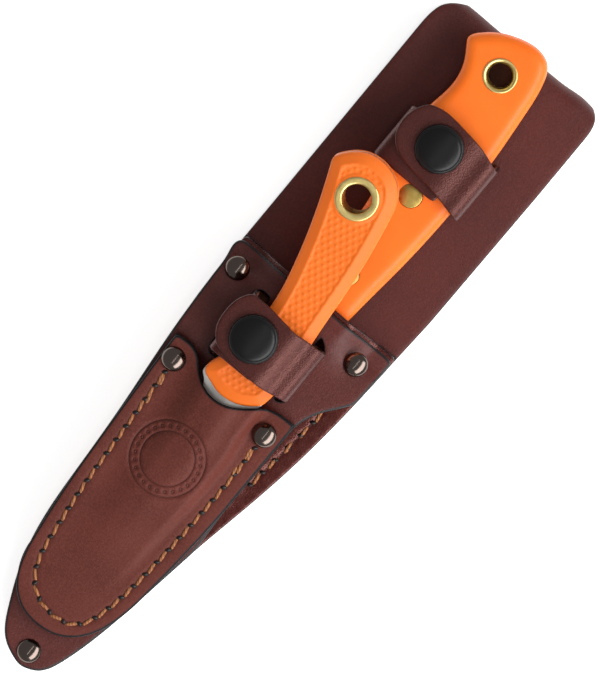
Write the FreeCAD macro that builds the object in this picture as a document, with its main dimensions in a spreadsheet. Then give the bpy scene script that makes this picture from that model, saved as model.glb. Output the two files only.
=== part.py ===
"""Leather combination sheath with two fixed-blade knives, lying on its back.

Frame: +X across the sheath, +Y along it towards the belt fold, +Z up through the layers.
The sheath is built in its own pitched frame, whose w = 0 plane is the middle of the large
blade; the tip and the belt flap are what touches the table, at Z = 0.
Lengths are millimetres.
"""
import FreeCAD, Part
import math
import os
from FreeCAD import Placement, Rotation, Vector

doc = FreeCAD.newDocument("combination_sheath")

# ---------------------------------------------------------------- driving dimensions
SIZES = {
    "leather": 2.2,             # panel hide thickness
    "strap_leather": 1.8,       # snap strap hide thickness
    "seat": 0.15,               # play between stacked layers
    "belt_gap": 5.0,            # opening behind the panel at belt_gap_y
    "belt_gap_y": 56.0,
    "fold_y": 94.3,             # far end of the belt fold
    "tip_y": -158.5,
    "panel_width": 63.5,
    "seam": 6.5,                # width of the stitched margin of a pocket
    "large_tang": 3.2,
    "large_scale": 5.2,
    "large_front": -13.0,       # front end of the large handle
    "small_tang": 2.4,
    "small_scale": 4.4,
    "front_scale": 0.4,         # share of a scale's thickness left at its front end
    "handle_play": 0.35,        # play between a handle and what it lies on
    "strap_play": 0.9,          # room between a handle and the strap closed over it
    "flange_gap": 0.8,          # room between the two strap layers for the stud flange
    "knuckle_play": 0.2,
    "cap_radius": 7.9,
    "cap_height": 2.9,
    "stud_radius": 1.9,
    "socket_bore": 2.3,
    "socket_radius": 4.0,
    "rivet_radius": 3.95,
    "rivet_height": 1.9,
    "post_radius": 1.5,
    "post_play": 0.1,
    "burr_radius": 3.1,
    "burr_height": 0.7,
    "large_tube_bore": 3.9,
    "large_tube_wall": 1.7,
    "small_tube_bore": 4.6,
    "small_tube_wall": 2.5,
    "pin_radius": 3.9,
    "thread_radius": 0.45,
    "stitch_pitch": 5.3,
}
sheet = doc.addObject("Spreadsheet::Sheet", "Sizes")
for row, (alias, value) in enumerate(SIZES.items(), start=1):
    sheet.set(f"A{row}", alias)
    sheet.set(f"B{row}", str(value))
    sheet.setAlias(f"B{row}", alias)
doc.recompute()


def size(alias):
    return float(getattr(sheet, alias))


LEATHER = size("leather")
STRAP = size("strap_leather")
SEAT = size("seat")
SEAM = size("seam")
LARGE_HALF = size("large_tang") / 2 + size("large_scale")
SMALL_HALF = size("small_tang") / 2 + size("small_scale")
WIDEN = size("panel_width") / 63.5

# ---------------------------------------------------------------- levels of the layers
# w of the back panel's upper face: the bed under the blade, and the dip under the handle
BED = -(size("large_tang") / 2 + SEAT)
DIP = -(LARGE_HALF + size("handle_play") + STRAP + 2 * SEAT)
BED_END = -26.0                 # the bed falls from here to the dip
DIP_START = 6.0

# the sheath is pitched so that both the tip and the belt flap lie on the table
TIP_DROP = LEATHER - BED
BELT_DROP = LEATHER - DIP
PITCH_SLOPE = ((LEATHER + size("belt_gap") + BELT_DROP - TIP_DROP)
               / (size("belt_gap_y") - size("tip_y")))
PITCH = math.atan(PITCH_SLOPE)
RISE = TIP_DROP * math.cos(PITCH) - size("tip_y") * math.sin(PITCH)
SHEATH = Placement(Vector(0, 0, RISE), Rotation(Vector(1, 0, 0), math.degrees(PITCH)))


def table(u):
    """w of the table under the sheath."""
    return -(RISE + u * math.sin(PITCH)) / math.cos(PITCH)


def smooth(t):
    t = max(0.0, min(1.0, t))
    return t * t * (3 - 2 * t)


def between(u, points):
    """Straight-line value at u through (u, value) points in rising u."""
    if u <= points[0][0]:
        return points[0][1]
    for (u0, v0), (u1, v1) in zip(points, points[1:]):
        if u <= u1:
            return v0 + (v1 - v0) * (u - u0) / (u1 - u0)
    return points[-1][1]


def panel_top(u):
    return between(u, [(BED_END, BED), (DIP_START, DIP)])


def left_edge(u):
    return WIDEN * between(u, [(-150, -12), (-130, -21), (-105, -24.8), (-50, -29.6),
                               (-16, -31.6)])


def right_edge(u):
    return WIDEN * between(u, [(-152, 9), (-130, 14.8), (-100, 19.2), (-60, 26.3), (-10, 30.5)])


def arch(x, lo, hi, share):
    """1 along the middle of a pocket, falling to 0 at its seams lo and hi."""
    ramp = share * (hi - lo)
    return smooth((x - lo) / ramp) * smooth((hi - x) / ramp)


# underside of the main pocket's front along its middle
HANDLE_CROWN = size("large_tang") / 2 + size("front_scale") * size("large_scale")
BLADE_ROOF = size("large_tang") / 2 + 2 * SEAT
FRONT_U = size("large_front")
MOUTH_U = -7.5
TAPER = 20.0                    # length of a large scale's tapered front


def main_roof(u):
    slope = (LARGE_HALF - HANDLE_CROWN) / TAPER
    crown = HANDLE_CROWN + 3 * SEAT
    return between(u, [(FRONT_U - 7.5, BLADE_ROOF), (FRONT_U - 1.5, crown),
                       (FRONT_U + 12, crown + 12 * slope)])


def front_under(x, u):
    """Underside of the main pocket's front."""
    edge = panel_top(u) + size("large_tang") + 2 * SEAT
    rise = max(main_roof(u) - edge, 0) * smooth((u + 146) / 18)
    lo = left_edge(u) + SEAM
    hi = right_edge(u) - SEAM
    return edge + rise * arch(x, lo, hi, 0.26)


# the lower strap runs between the main pocket's front and the carrier
LOWER_STRAP = (-41.0, -20.0)    # its ends along u
STRAP_ROOM = STRAP + 2 * SEAT


def carrier_under(x, u):
    room = STRAP_ROOM * smooth((u + 50) / 7) * smooth((-13 - u) / 5.5)
    return front_under(x, u) + LEATHER + 1.5 * SEAT + room


def carrier_top(x, u):
    return carrier_under(x, u) + LEATHER


# small knife: its plane clears the carrier over the strap and at the blade's tip
SMALL_FRONT = -3.2              # front end of the small handle from its own origin
SMALL_TAPER = 16.0              # length of a small scale's tapered front
SMALL_GUARD = (-3.2, -47.1)     # where the small knife's own origin lies
SMALL_REST_U = SMALL_GUARD[1] + SMALL_FRONT + SMALL_TAPER
SMALL_REST = BLADE_ROOF + 2 * LEATHER + 2 * SEAT + STRAP_ROOM + size("handle_play") + SMALL_HALF
SMALL_TIP_U = -121.0
SMALL_TIP = BLADE_ROOF + 2 * LEATHER + 4 * SEAT + size("small_tang") / 2
SMALL_SLOPE = (SMALL_REST - SMALL_TIP) / (SMALL_REST_U - SMALL_TIP_U)
SMALL_TURN = 6.2                # degrees that the small knife leans across the sheath


def small_plane(u):
    """w of the small knife's middle plane."""
    return SMALL_REST + (u - SMALL_REST_U) * SMALL_SLOPE


SMALL = SHEATH.multiply(Placement(
    Vector(SMALL_GUARD[0], SMALL_GUARD[1], small_plane(SMALL_GUARD[1])),
    Rotation(Vector(0, 0, 1), SMALL_TURN).multiply(
        Rotation(Vector(1, 0, 0), math.degrees(math.atan(SMALL_SLOPE))))))


def pocket_left(u):
    return between(u, [(-138, -17.3), (-125, -22), (-107, -24.2), (-80, -26.3), (-46, -28.25)])


def pocket_right(u):
    return between(u, [(-136, 11.5), (-126, 15.5), (-112, 17.4), (-80, 19.3)])


def pocket_under(x, u):
    """Underside of the small pocket's front."""
    edge = carrier_top(x, u) + size("small_tang") + 4 * SEAT
    target = small_plane(u) + size("small_tang") / 2 + 8 * SEAT
    lo = pocket_left(u) + SEAM + 1.2
    hi = pocket_right(u) - SEAM - 0.6 - 1.4 * smooth((u + 66) / 9)
    rise = max(target - edge, 0) * smooth((u + 136) / 12)
    return edge + rise * arch(x, lo, hi, 0.13)


# ---------------------------------------------------------------- plan outlines
def curve(points):
    """A straight edge through two points, or a smooth one through more."""
    vectors = [Vector(*p) if len(p) == 3 else Vector(p[0], p[1], 0) for p in points]
    if len(vectors) == 2:
        return Part.LineSegment(*vectors)
    spline = Part.BSplineCurve()
    spline.interpolate(vectors)
    return spline


def stroke_face(strokes):
    edges = [curve(points).toShape() for points in strokes]
    return Part.Face(Part.Wire(edges))


def widened(strokes):
    return [[(x * WIDEN, u) for x, u in points] for points in strokes]


LEFT_FLANK = [(-31.4, -22), (-29.9, -47), (-27.3, -72.5), (-25.4, -97.5), (-23.2, -120),
              (-19.5, -134.2), (-14.6, -145.4), (-8.3, -154.8), (0.3, -158.5)]
RIGHT_FLANK = [(0.3, -158.5), (6.3, -156), (10.3, -148.8), (12.9, -139.5), (15.4, -127),
               (17.6, -112.5), (20.2, -95)]
MAIN_RIGHT = RIGHT_FLANK + [(23.8, -75.3), (27.1, -54.5), (29.3, -32), (30.4, -13)]

TOP = size("fold_y") + 1.7      # clear of the fold
BACK_OUTLINE = widened([
    LEFT_FLANK, MAIN_RIGHT,
    [(30.4, -13), (31.5, 7.5)], [(31.5, 7.5), (32.1, 60)], [(32.1, 60), (32.1, TOP - 15)],
    [(32.1, TOP - 15), (31.4, TOP - 6), (28, TOP - 2), (22, TOP)], [(22, TOP), (-20.5, TOP)],
    [(-20.5, TOP), (-26, TOP - 3.6), (-30.2, TOP - 9), (-31.3, TOP - 17)],
    [(-31.3, TOP - 17), (-31.4, -22)]])
FRONT_OUTLINE = widened([
    LEFT_FLANK, MAIN_RIGHT, [(30.4, -13), (30.6, MOUTH_U)], [(30.6, MOUTH_U), (-31.4, MOUTH_U)],
    [(-31.4, MOUTH_U), (-31.4, -22)]])
CARRIER_OUTLINE = widened([
    LEFT_FLANK, RIGHT_FLANK,
    [(20.2, -95), (19.4, -80)], [(19.4, -80), (19.5, -44)],
    [(19.5, -44), (21.6, -37.8), (25.5, -32), (29.6, -26.5)], [(29.6, -26.5), (30.3, -9)],
    [(30.3, -9), (-31.2, -9)], [(-31.2, -9), (-32.5, -11), (-32, -15), (-31.4, -22)]])
POCKET_OUTLINE = widened([
    [(-28.3, -44.7), (-24, -44.3)],
    [(-24, -44.3), (-20.2, -44.9), (-15.5, -49.6), (-10.5, -53), (-5, -54), (0, -52.8),
     (5, -49), (8.7, -45.6), (13, -43.7)],
    [(13, -43.7), (19.3, -43.5)], [(19.3, -43.5), (19.3, -80)],
    [(19.3, -80), (18.6, -96), (17.4, -112), (15.4, -126.2), (11.5, -136), (5, -142.2),
     (-3.5, -144.3), (-12, -142.5), (-18.2, -136.5), (-22, -125)],
    [(-22, -125), (-24.4, -106), (-26.4, -80), (-28.3, -44.7)]])
MAIN_CAVITY = widened([
    [(-25, 0), (-24.8, -40)], [(-24.8, -40), (-21.2, -90), (-17.4, -120), (-13, -137),
                               (-2, -144.5), (7, -139), (10.3, -122), (14.5, -92), (22, -50)],
    [(22, -50), (23.8, 0)], [(23.8, 0), (-25, 0)]])
POCKET_CAVITY = widened([
    [(-21.8, -40), (-19.8, -82)],
    [(-19.8, -82), (-17.5, -112), (-14.2, -129), (-3.5, -136), (7, -130), (10.8, -112),
     (12.8, -80)],
    [(12.8, -80), (12.8, -40)], [(12.8, -40), (-21.8, -40)]])

LARGE_HANDLE = [
    [(-9, FRONT_U), (-10.6, 0), (-12.4, 20), (-13.3, 42), (-12.9, 61), (-11.4, 71),
     (-12.9, 78.5), (-16.4, 84.2)],
    [(-16.4, 84.2), (-17.2, 85.6), (-16.7, 87.2)],
    [(-16.7, 87.2), (-12, 91.7), (-4, 95.6), (3.5, 96.6), (8, 94.7), (10.5, 90), (12.5, 78),
     (14.1, 60), (14.3, 38), (13.4, 18), (12, 3), (10.6, FRONT_U)],
    [(10.6, FRONT_U), (-9, FRONT_U)]]
LARGE_BLADE = [
    LARGE_HANDLE[0], LARGE_HANDLE[1], LARGE_HANDLE[2],
    [(10.6, FRONT_U), (10.8, -40), (10.2, -75), (8.2, -105), (4.8, -124), (0.5, -136.5)],
    [(0.5, -136.5), (-4.5, -130), (-9.5, -117), (-12.5, -95), (-13.4, -70), (-12.6, -45),
     (-9.6, -25), (-8, -18.5)],
    [(-8, -18.5), (-9, FRONT_U)]]
SMALL_HANDLE = [
    [(-8, -0.9), (-3.5, -2.9), (1, -3.2), (6, -1.9), (10.6, 1.2)],
    [(10.6, 1.2), (12.2, 8), (12.9, 28), (13.2, 48), (12.6, 65), (11.6, 76)],
    [(11.6, 76), (9.2, 81.8), (5, 85.5), (0, 87.1), (-5.2, 86.8), (-10, 84.3), (-13.4, 80.9)],
    [(-13.4, 80.9), (-14, 79.9), (-13.5, 78.3)],
    [(-13.5, 78.3), (-9.2, 63), (-5.8, 46), (-4.4, 31), (-5.6, 19), (-8.5, 8.4), (-11, 3.4)],
    [(-11, 3.4), (-11, 1), (-8, -0.9)]]
SMALL_BLADE = [
    [(10.6, 1.2), (9.6, -2)], [(9.6, -2), (8.7, -25), (6.3, -45), (2.6, -62), (-2, -72.5)],
    [(-2, -72.5), (-6.4, -65), (-9.6, -52), (-10.8, -35), (-10.4, -15), (-8.6, -6), (-9.6, -2),
     (-11.6, 0)],
    [(-11.6, 0), (-11, 3.4)],
    list(reversed(SMALL_HANDLE[4])), list(reversed(SMALL_HANDLE[3])),
    list(reversed(SMALL_HANDLE[2])), list(reversed(SMALL_HANDLE[1]))]

LARGE_RING = (-1.4, 82.8)
LARGE_PINS = [(1.0, 35.6), (1.4, 4.0)]
SMALL_RING = (-0.3, 73.1)
UPPER_CAP = (-1.35, 53.0)
LOWER_CAP = (-8.2, -29.6)
CARRIER_RIVETS, EAR_RIVETS, (TIP_RIVET,) = widened([
    [(-26.5, -16.9), (21.65, -16.5)], [(-23.65, -51.6), (13.65, -51.9)], [(-0.1, -152.9)]])
BACK_RIVETS = CARRIER_RIVETS + [TIP_RIVET]

nodes = []


def keep(item, label):
    item.Label = label
    nodes.append(item)
    return item


# ---------------------------------------------------------------- PartDesign helpers
def new_body(name, place=None):
    body = doc.addObject("PartDesign::Body", name)
    body.Placement = place or Placement()
    return keep(body, name)


def new_sketch(body, role, strokes, name, circles=()):
    sketch = body.newObject("Sketcher::SketchObject", name)
    plane = [f for f in body.Origin.OriginFeatures if f.Role == role][0]
    sketch.AttachmentSupport = [(plane, "")]
    sketch.MapMode = "FlatFace"
    for points in strokes:
        sketch.addGeometry(curve(points))
    for (x, y), radius in circles:
        sketch.addGeometry(Part.Circle(Vector(x, y, 0), Vector(0, 0, 1), radius))
    return sketch


def new_pad(body, sketch, length, name, midplane=False, reverse=False):
    pad = body.newObject("PartDesign::Pad", name)
    pad.Profile = sketch
    pad.setExpression("Length", length)
    pad.Midplane = midplane
    pad.Reversed = reverse
    doc.recompute()
    return pad


def new_pocket(body, sketch, name, length=None, midplane=False, reverse=False):
    before = body.Shape.Volume
    pocket = body.newObject("PartDesign::Pocket", name)
    pocket.Profile = sketch
    if length:
        pocket.setExpression("Length", length)
    else:
        pocket.Type = "ThroughAll"
    pocket.Midplane = midplane
    pocket.Reversed = reverse
    doc.recompute()
    if body.Shape.Volume > before - 0.5:
        raise RuntimeError(f"{name} cuts nothing")
    return pocket


def runs(points):
    """Straight strokes from point to point."""
    return [[a, b] for a, b in zip(points, points[1:])]


def closed(points):
    return runs(points + points[:1])


def frame_loop(reach=190):
    return closed([(-reach, -reach), (reach, -reach), (reach, reach), (-reach, reach)])


# ---------------------------------------------------------------- back panel and belt flap
# One hide: the panel runs up the sheath, folds over and comes back down as the belt flap.
FLAP_LEAVES = -3.0              # the flap lies on the table from the fold to here
FLAP_JOINS = -14.0              # and is riveted under the panel from here
FLAP_END = -30.0
BED_LOW = BED - LEATHER
BLANK_END = size("tip_y") - 1
fold_height = DIP - table(size("fold_y") - 5)
fold_u = size("fold_y") - fold_height / 2


def flap_low(u):
    joined = panel_top(FLAP_JOINS) - 2 * LEATHER
    return between(u, [(FLAP_JOINS, joined), (FLAP_LEAVES, table(FLAP_LEAVES))])


def panel_low(u):
    return panel_top(u) - LEATHER


back = new_body("back_panel", SHEATH)
outer = [(BLANK_END, BED_LOW), (FLAP_END, BED_LOW), (FLAP_END, BED_LOW - LEATHER),
         (BED_END, BED_LOW - LEATHER), (FLAP_JOINS, flap_low(FLAP_JOINS)),
         (FLAP_LEAVES, table(FLAP_LEAVES)), (fold_u, table(fold_u))]
upper = [(fold_u, DIP), (DIP_START, DIP), (BED_END, BED), (BLANK_END, BED), outer[0]]
hollow = [(FLAP_JOINS, panel_low(FLAP_JOINS)), (FLAP_LEAVES, table(FLAP_LEAVES) + LEATHER),
          (fold_u, table(fold_u) + LEATHER)]
hollow_top = [(fold_u, DIP - LEATHER), (DIP_START, DIP - LEATHER), hollow[0]]
profile = runs(outer) + runs(upper) + runs(hollow) + runs(hollow_top)
side = new_sketch(back, "YZ_Plane", profile, "back_side")
fold_mid = Vector(fold_u + fold_height / 2, (DIP + table(fold_u)) / 2, 0)
for start, middle, end in ((outer[-1], fold_mid, upper[0]),
                           (hollow[-1], fold_mid - Vector(LEATHER, 0, 0), hollow_top[0])):
    side.addGeometry(Part.Arc(Vector(*start, 0), middle, Vector(*end, 0)))
new_pad(back, side, "Sizes.panel_width * 1.2", "back_blank", midplane=True)
new_pocket(back, new_sketch(back, "XY_Plane", frame_loop() + BACK_OUTLINE, "back_outline"),
           "back_trim", midplane=True)
post_hole = size("post_radius") + size("post_play")
new_pocket(back, new_sketch(back, "XY_Plane", [], "back_holes", [(p, post_hole) for p in BACK_RIVETS]),
           "back_rivet_holes", midplane=True)


# ---------------------------------------------------------------- formed leather layers
def surface(height, u_low, u_high, steps):
    """Smooth sheet through height(x, u) over the layer's plan."""
    half = 0.56 * size("panel_width")
    columns = [-half + 2 * half * i / 22 for i in range(23)]
    rows = [u_low + (u_high - u_low) * j / steps for j in range(steps + 1)]
    grid = [[Vector(x, u, height(x, u)) for u in rows] for x in columns]
    sheet_surface = Part.BSplineSurface()
    sheet_surface.interpolate(grid)
    return sheet_surface.toShape()


def formed(name, outline, height, thickness, u_low, u_high, steps, cavity=None, posts=(), slots=()):
    """A hide of even thickness laid over height(x, u) and cut to its outline."""
    plan = stroke_face(outline)
    if cavity:
        plan = plan.cut(stroke_face(cavity))
    plan.translate(Vector(0, 0, -30))
    trimmed = surface(height, u_low, u_high, steps).common(plan.extrude(Vector(0, 0, 80)))
    solid = trimmed.Faces[0].extrude(Vector(0, 0, thickness))
    for x, u in posts:
        solid = solid.cut(Part.makeCylinder(post_hole, 80, Vector(x, u, -30)))
    for x0, x1, u0, u1 in slots:
        solid = solid.cut(Part.makeBox(x1 - x0, u1 - u0, 80, Vector(x0, u0, -30)))
    feature = doc.addObject("Part::Feature", name)
    feature.Shape = solid.Solids[0]
    feature.Placement = SHEATH
    return keep(feature, name)


LOW_U = size("tip_y") - 3
STRAP_SIDES = (-15.9 - STRAP, 10.7 + STRAP)     # outer faces of the lower strap's two sides
SLOT_PLAY = 0.5
SLOT_ENDS = (LOWER_STRAP[0] - 2.2, LOWER_STRAP[1] + 4.6)
SLOTS = [(STRAP_SIDES[0] - SLOT_PLAY, -13.4, *SLOT_ENDS),
         (8.4, STRAP_SIDES[1] + SLOT_PLAY, *SLOT_ENDS)]
formed("main_welt", FRONT_OUTLINE, lambda x, u: panel_top(u) + SEAT, size("large_tang"),
       LOW_U, -5, 50, MAIN_CAVITY, BACK_RIVETS)
formed("main_pocket_front", FRONT_OUTLINE, front_under, LEATHER, LOW_U, -5, 50,
       posts=BACK_RIVETS)
formed("carrier_panel", CARRIER_OUTLINE, carrier_under, LEATHER, LOW_U, -5, 50,
       posts=BACK_RIVETS + EAR_RIVETS, slots=SLOTS)
formed("small_welt", POCKET_OUTLINE, lambda x, u: carrier_top(x, u) + SEAT, size("small_tang"),
       -150, -40, 36, POCKET_CAVITY, EAR_RIVETS)
formed("small_pocket_front", POCKET_OUTLINE, pocket_under, LEATHER, -150, -40, 36,
       posts=EAR_RIVETS)


# ---------------------------------------------------------------- rivets
def primitive(kind, name, sizes, place):
    item = doc.addObject(f"Part::{kind}", name)
    for prop, value in sizes.items():
        item.setExpression(prop, value)
    item.Placement = place
    return item


def joined(kind, name, items, place=None):
    item = doc.addObject(f"Part::{kind}", name)
    if kind == "Cut":
        item.Base, item.Tool = items
    elif kind == "MultiFuse":
        item.Shapes = items
    else:
        item.Links = items
    if place:
        item.Placement = place
    return item


def dome(name, radius, height, place):
    """A domed cap whose flat face lies at the origin of place."""
    ball = f"((Sizes.{radius}^2 + Sizes.{height}^2) / (2 * Sizes.{height}))"
    cap = doc.addObject("Part::Sphere", name)
    cap.setExpression("Radius", ball)
    cap.setExpression("Angle1", f"asin(({ball} - Sizes.{height}) / {ball})")
    cap.Angle2 = 90
    drop = (size(radius) ** 2 - size(height) ** 2) / (2 * size(height))
    cap.Placement = place.multiply(Placement(Vector(0, 0, -drop), Rotation()))
    return cap


def rivet(name, spot, top, bottom):
    """A domed cap on the top layer with its post down through the holes."""
    x, u = spot
    cap = dome(f"{name}_cap", "rivet_radius", "rivet_height", Placement(Vector(x, u, top), Rotation()))
    post = primitive("Cylinder", f"{name}_post", {"Radius": "Sizes.post_radius"},
                     Placement(Vector(x, u, bottom), Rotation()))
    post.Height = top - bottom + 0.5
    return joined("MultiFuse", name, [cap, post])


def burr(name, spot, top):
    """The flat washer that the post is peened over, under the lowest layer."""
    return primitive("Cylinder", name, {"Radius": "Sizes.burr_radius", "Height": "Sizes.burr_height"},
                     Placement(Vector(spot[0], spot[1], top - size("burr_height")), Rotation()))


def burr_top(spot):
    """Level of the washer under a carrier rivet, just clear of the sloping belt flap."""
    lean = abs(DIP - BED) / (DIP_START - BED_END) * size("burr_radius")
    return panel_low(spot[1]) - LEATHER - SEAT - lean


def seat_on(spot, height):
    """Level of a cap's flat face: just over the highest point of the layer under it."""
    x, u = spot
    under = [height(x + reach * math.cos(k * math.pi / 12), u + reach * math.sin(k * math.pi / 12))
             for reach in (0.6 * size("rivet_radius"), size("rivet_radius")) for k in range(24)]
    return max(under) + SEAT


carrier_caps = [rivet(f"carrier_rivet_{k}", spot, seat_on(spot, carrier_top),
                      burr_top(spot) + SEAT / 2)
                for k, spot in enumerate(CARRIER_RIVETS)]
keep(joined("Compound", "carrier_rivets", carrier_caps, SHEATH), "carrier_rivets")
tip_low = panel_low(TIP_RIVET[1])
keep(joined("Compound", "tip_rivet", [rivet("tip_rivet_body", TIP_RIVET,
                                            seat_on(TIP_RIVET, carrier_top), tip_low)], SHEATH),
     "tip_rivet")
ear_caps = [rivet(f"ear_rivet_{k}", spot,
                  seat_on(spot, lambda x, u: pocket_under(x, u) + LEATHER),
                  carrier_under(*spot))
            for k, spot in enumerate(EAR_RIVETS)]
keep(joined("Compound", "pocket_ear_rivets", ear_caps, SHEATH), "pocket_ear_rivets")
burrs = [burr(f"burr_disc_{k}", spot, burr_top(spot)) for k, spot in enumerate(CARRIER_RIVETS)]
keep(joined("Compound", "rivet_burrs", burrs, SHEATH), "rivet_burrs")


# ---------------------------------------------------------------- seams
def stitches(name, path, height, place):
    """Saddle stitches: short thread runs lying on the hide between their holes."""
    line = curve(path)
    reach = line.length()
    count = int(round(reach / size("stitch_pitch")))
    runs = []
    for k in range(count):
        ends = []
        for step in (k + 0.14, k + 0.86):
            spot = line.value(line.parameterAtDistance(reach * step / count, line.FirstParameter))
            ends.append(Vector(spot.x, spot.y, height(spot.x, spot.y) + size("thread_radius") + 0.1))
        runs.append(Part.makeCylinder(size("thread_radius"), (ends[1] - ends[0]).Length, ends[0],
                                      ends[1] - ends[0]))
    feature = doc.addObject("Part::Feature", name)
    feature.Shape = Part.makeCompound(runs)
    feature.Placement = place
    return keep(feature, name)


SMALL_SEAM, MAIN_SEAM = widened([
    [(-23.2, -56.5), (-22.2, -72), (-21.1, -88), (-20, -103), (-18.2, -117.5), (-16.3, -127.5),
     (-11.5, -135.3), (-2.7, -138.6), (5.8, -136.4), (10.4, -127), (12.2, -116.4), (13.5, -99.3),
     (14.15, -82.5), (14.3, -68), (14, -57)],
    [(23.3, -34), (23, -40), (22.2, -49), (21, -60), (20.3, -67.5)]])
stitches("small_seam_thread", SMALL_SEAM, lambda x, u: pocket_under(x, u) + LEATHER, SHEATH)
stitches("main_seam_thread", MAIN_SEAM, lambda x, u: front_under(x, u) + LEATHER, SHEATH)


# ---------------------------------------------------------------- knives
def slab(name, outline, low, high, place, holes=()):
    """A flat plate between two levels, cut to its outline, with round holes."""
    body = new_body(name, place)
    sketch = new_sketch(body, "XY_Plane", outline, f"{name}_outline", holes)
    sketch.setExpression("AttachmentOffset.Base.z", low)
    new_pad(body, sketch, f"({high}) - ({low})", f"{name}_pad")
    return body


def taper(body, front, length, tang_half, scale, side):
    """Planes the front of a scale down towards the blade."""
    full = tang_half + scale
    thin = tang_half + size("front_scale") * scale
    corners = [(front - 5, side * (thin - 5 * (full - thin) / length)), (front + length, side * full),
               (front + length, side * (full + 5)), (front - 5, side * (full + 5))]
    new_pocket(body, new_sketch(body, "YZ_Plane", closed(corners), f"{body.Name}_taper_side"),
               f"{body.Name}_taper", midplane=True)


LARGE_TUBE = size("large_tube_bore") + 0.9
SMALL_TUBE = size("small_tube_bore") + 0.9
PIN_PLAY = 0.05
large_holes = [(LARGE_RING, LARGE_TUBE + PIN_PLAY)]
large_holes += [(spot, size("pin_radius") + PIN_PLAY) for spot in LARGE_PINS]
small_holes = [(SMALL_RING, SMALL_TUBE + PIN_PLAY)]
slab("large_blade", LARGE_BLADE, "-Sizes.large_tang / 2", "Sizes.large_tang / 2", SHEATH, large_holes)
slab("small_blade", SMALL_BLADE, "-Sizes.small_tang / 2", "Sizes.small_tang / 2", SMALL, small_holes)
for knife, outline, holes, place, front, length in (
        ("large", LARGE_HANDLE, large_holes, SHEATH, FRONT_U, TAPER),
        ("small", SMALL_HANDLE, small_holes, SMALL, SMALL_FRONT, SMALL_TAPER)):
    tang = f"Sizes.{knife}_tang / 2"
    scale = f"Sizes.{knife}_scale"
    half = size(f"{knife}_tang") / 2
    for word, side in (("front", 1), ("back", -1)):
        low, high = (tang, f"{tang} + {scale}") if side > 0 else (f"-{tang} - {scale}", f"-{tang}")
        grip = slab(f"{knife}_scale_{word}", outline, low, high, place, holes)
        taper(grip, front, length, half, size(f"{knife}_scale"), side)


def eyelet(name, knife, spot, place):
    """A flared brass tube through the handle, flanged over both faces."""
    half = f"(Sizes.{knife}_tang / 2 + Sizes.{knife}_scale)"
    bore = f"Sizes.{knife}_tube_bore"
    at = Placement(Vector(spot[0], spot[1], 0), Rotation())
    parts = []
    for word, radius, low, high in (
            ("barrel", f"{bore} + 0.9", f"-{half}", half),
            ("front_flange", f"{bore} + Sizes.{knife}_tube_wall", half, f"{half} + 0.4"),
            ("back_flange", f"{bore} + Sizes.{knife}_tube_wall", f"-{half} - 0.3", f"-{half}")):
        ring = primitive("Cylinder", f"{name}_{word}",
                         {"Radius": radius, "Height": f"({high}) - ({low})"}, at)
        ring.setExpression("Placement.Base.z", low)
        parts.append(ring)
    solid = joined("MultiFuse", f"{name}_solid", parts)
    hole = primitive("Cylinder", f"{name}_bore", {"Radius": bore, "Height": f"2 * {half} + 4"}, at)
    hole.setExpression("Placement.Base.z", f"-{half} - 2")
    return keep(joined("Cut", name, [solid, hole], place), name)


eyelet("large_lanyard_tube", "large", LARGE_RING, SHEATH)
eyelet("small_lanyard_tube", "small", SMALL_RING, SMALL)
pins = []
for k, (x, u) in enumerate(LARGE_PINS):
    reach = LARGE_HALF if k == 0 else LARGE_HALF - (FRONT_U + TAPER - u + 4) / TAPER * (
        1 - size("front_scale")) * size("large_scale")
    pin = primitive("Cylinder", f"large_pin_{k}", {"Radius": "Sizes.pin_radius"},
                    Placement(Vector(x, u, -reach), Rotation()))
    pin.Height = 2 * reach
    pins.append(pin)
keep(joined("Compound", "large_pins", pins, SHEATH), "large_pins")


# ---------------------------------------------------------------- snap straps
def thick_line(points, thickness):
    """Closed outline of a strip of even thickness along an open (x, w) line."""
    sides = ([], [])
    for k, (x, w) in enumerate(points):
        before = points[max(k - 1, 0)]
        after = points[min(k + 1, len(points) - 1)]
        directions = []
        for a, b in ((before, (x, w)), ((x, w), after)):
            reach = math.hypot(b[0] - a[0], b[1] - a[1])
            if reach > 0:
                directions.append(((b[0] - a[0]) / reach, (b[1] - a[1]) / reach))
        dx = sum(d[0] for d in directions)
        dw = sum(d[1] for d in directions)
        reach = math.hypot(dx, dw)
        nx, nw = -dw / reach, dx / reach
        spread = thickness / 2 / (nx * -directions[0][1] + nw * directions[0][0])
        sides[0].append((x + nx * spread, w + nw * spread))
        sides[1].append((x - nx * spread, w - nw * spread))
    return sides[0] + sides[1][::-1]


def strap_band(name, line, ends, cap, flange_w):
    """The fixed strip of a strap: under the handle, up both sides and over to the stud."""
    corners = [Vector(x, ends[0], w) for x, w in thick_line(line, STRAP)]
    blank = Part.Face(Part.makePolygon(corners + corners[:1])).extrude(Vector(0, ends[1] - ends[0], 0))
    hole = Part.makeCylinder(post_hole, 2 * STRAP, Vector(cap[0], cap[1], flange_w - 2 * STRAP))
    feature = doc.addObject("Part::Feature", name)
    feature.Shape = blank.cut(hole).Solids[0]
    feature.Placement = SHEATH
    return keep(feature, name)


def strap_tab(name, outline, cap, low):
    """The free end, swinging from the strap's right shoulder, pierced for the socket."""
    body = new_body(name, SHEATH)
    hole = [(cap, size("socket_radius") + size("post_play"))]
    sketch = new_sketch(body, "XY_Plane", outline, f"{name}_outline", hole)
    sketch.AttachmentOffset = Placement(Vector(0, 0, low), Rotation())
    new_pad(body, sketch, "Sizes.strap_leather", f"{name}_pad")
    return body


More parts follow.
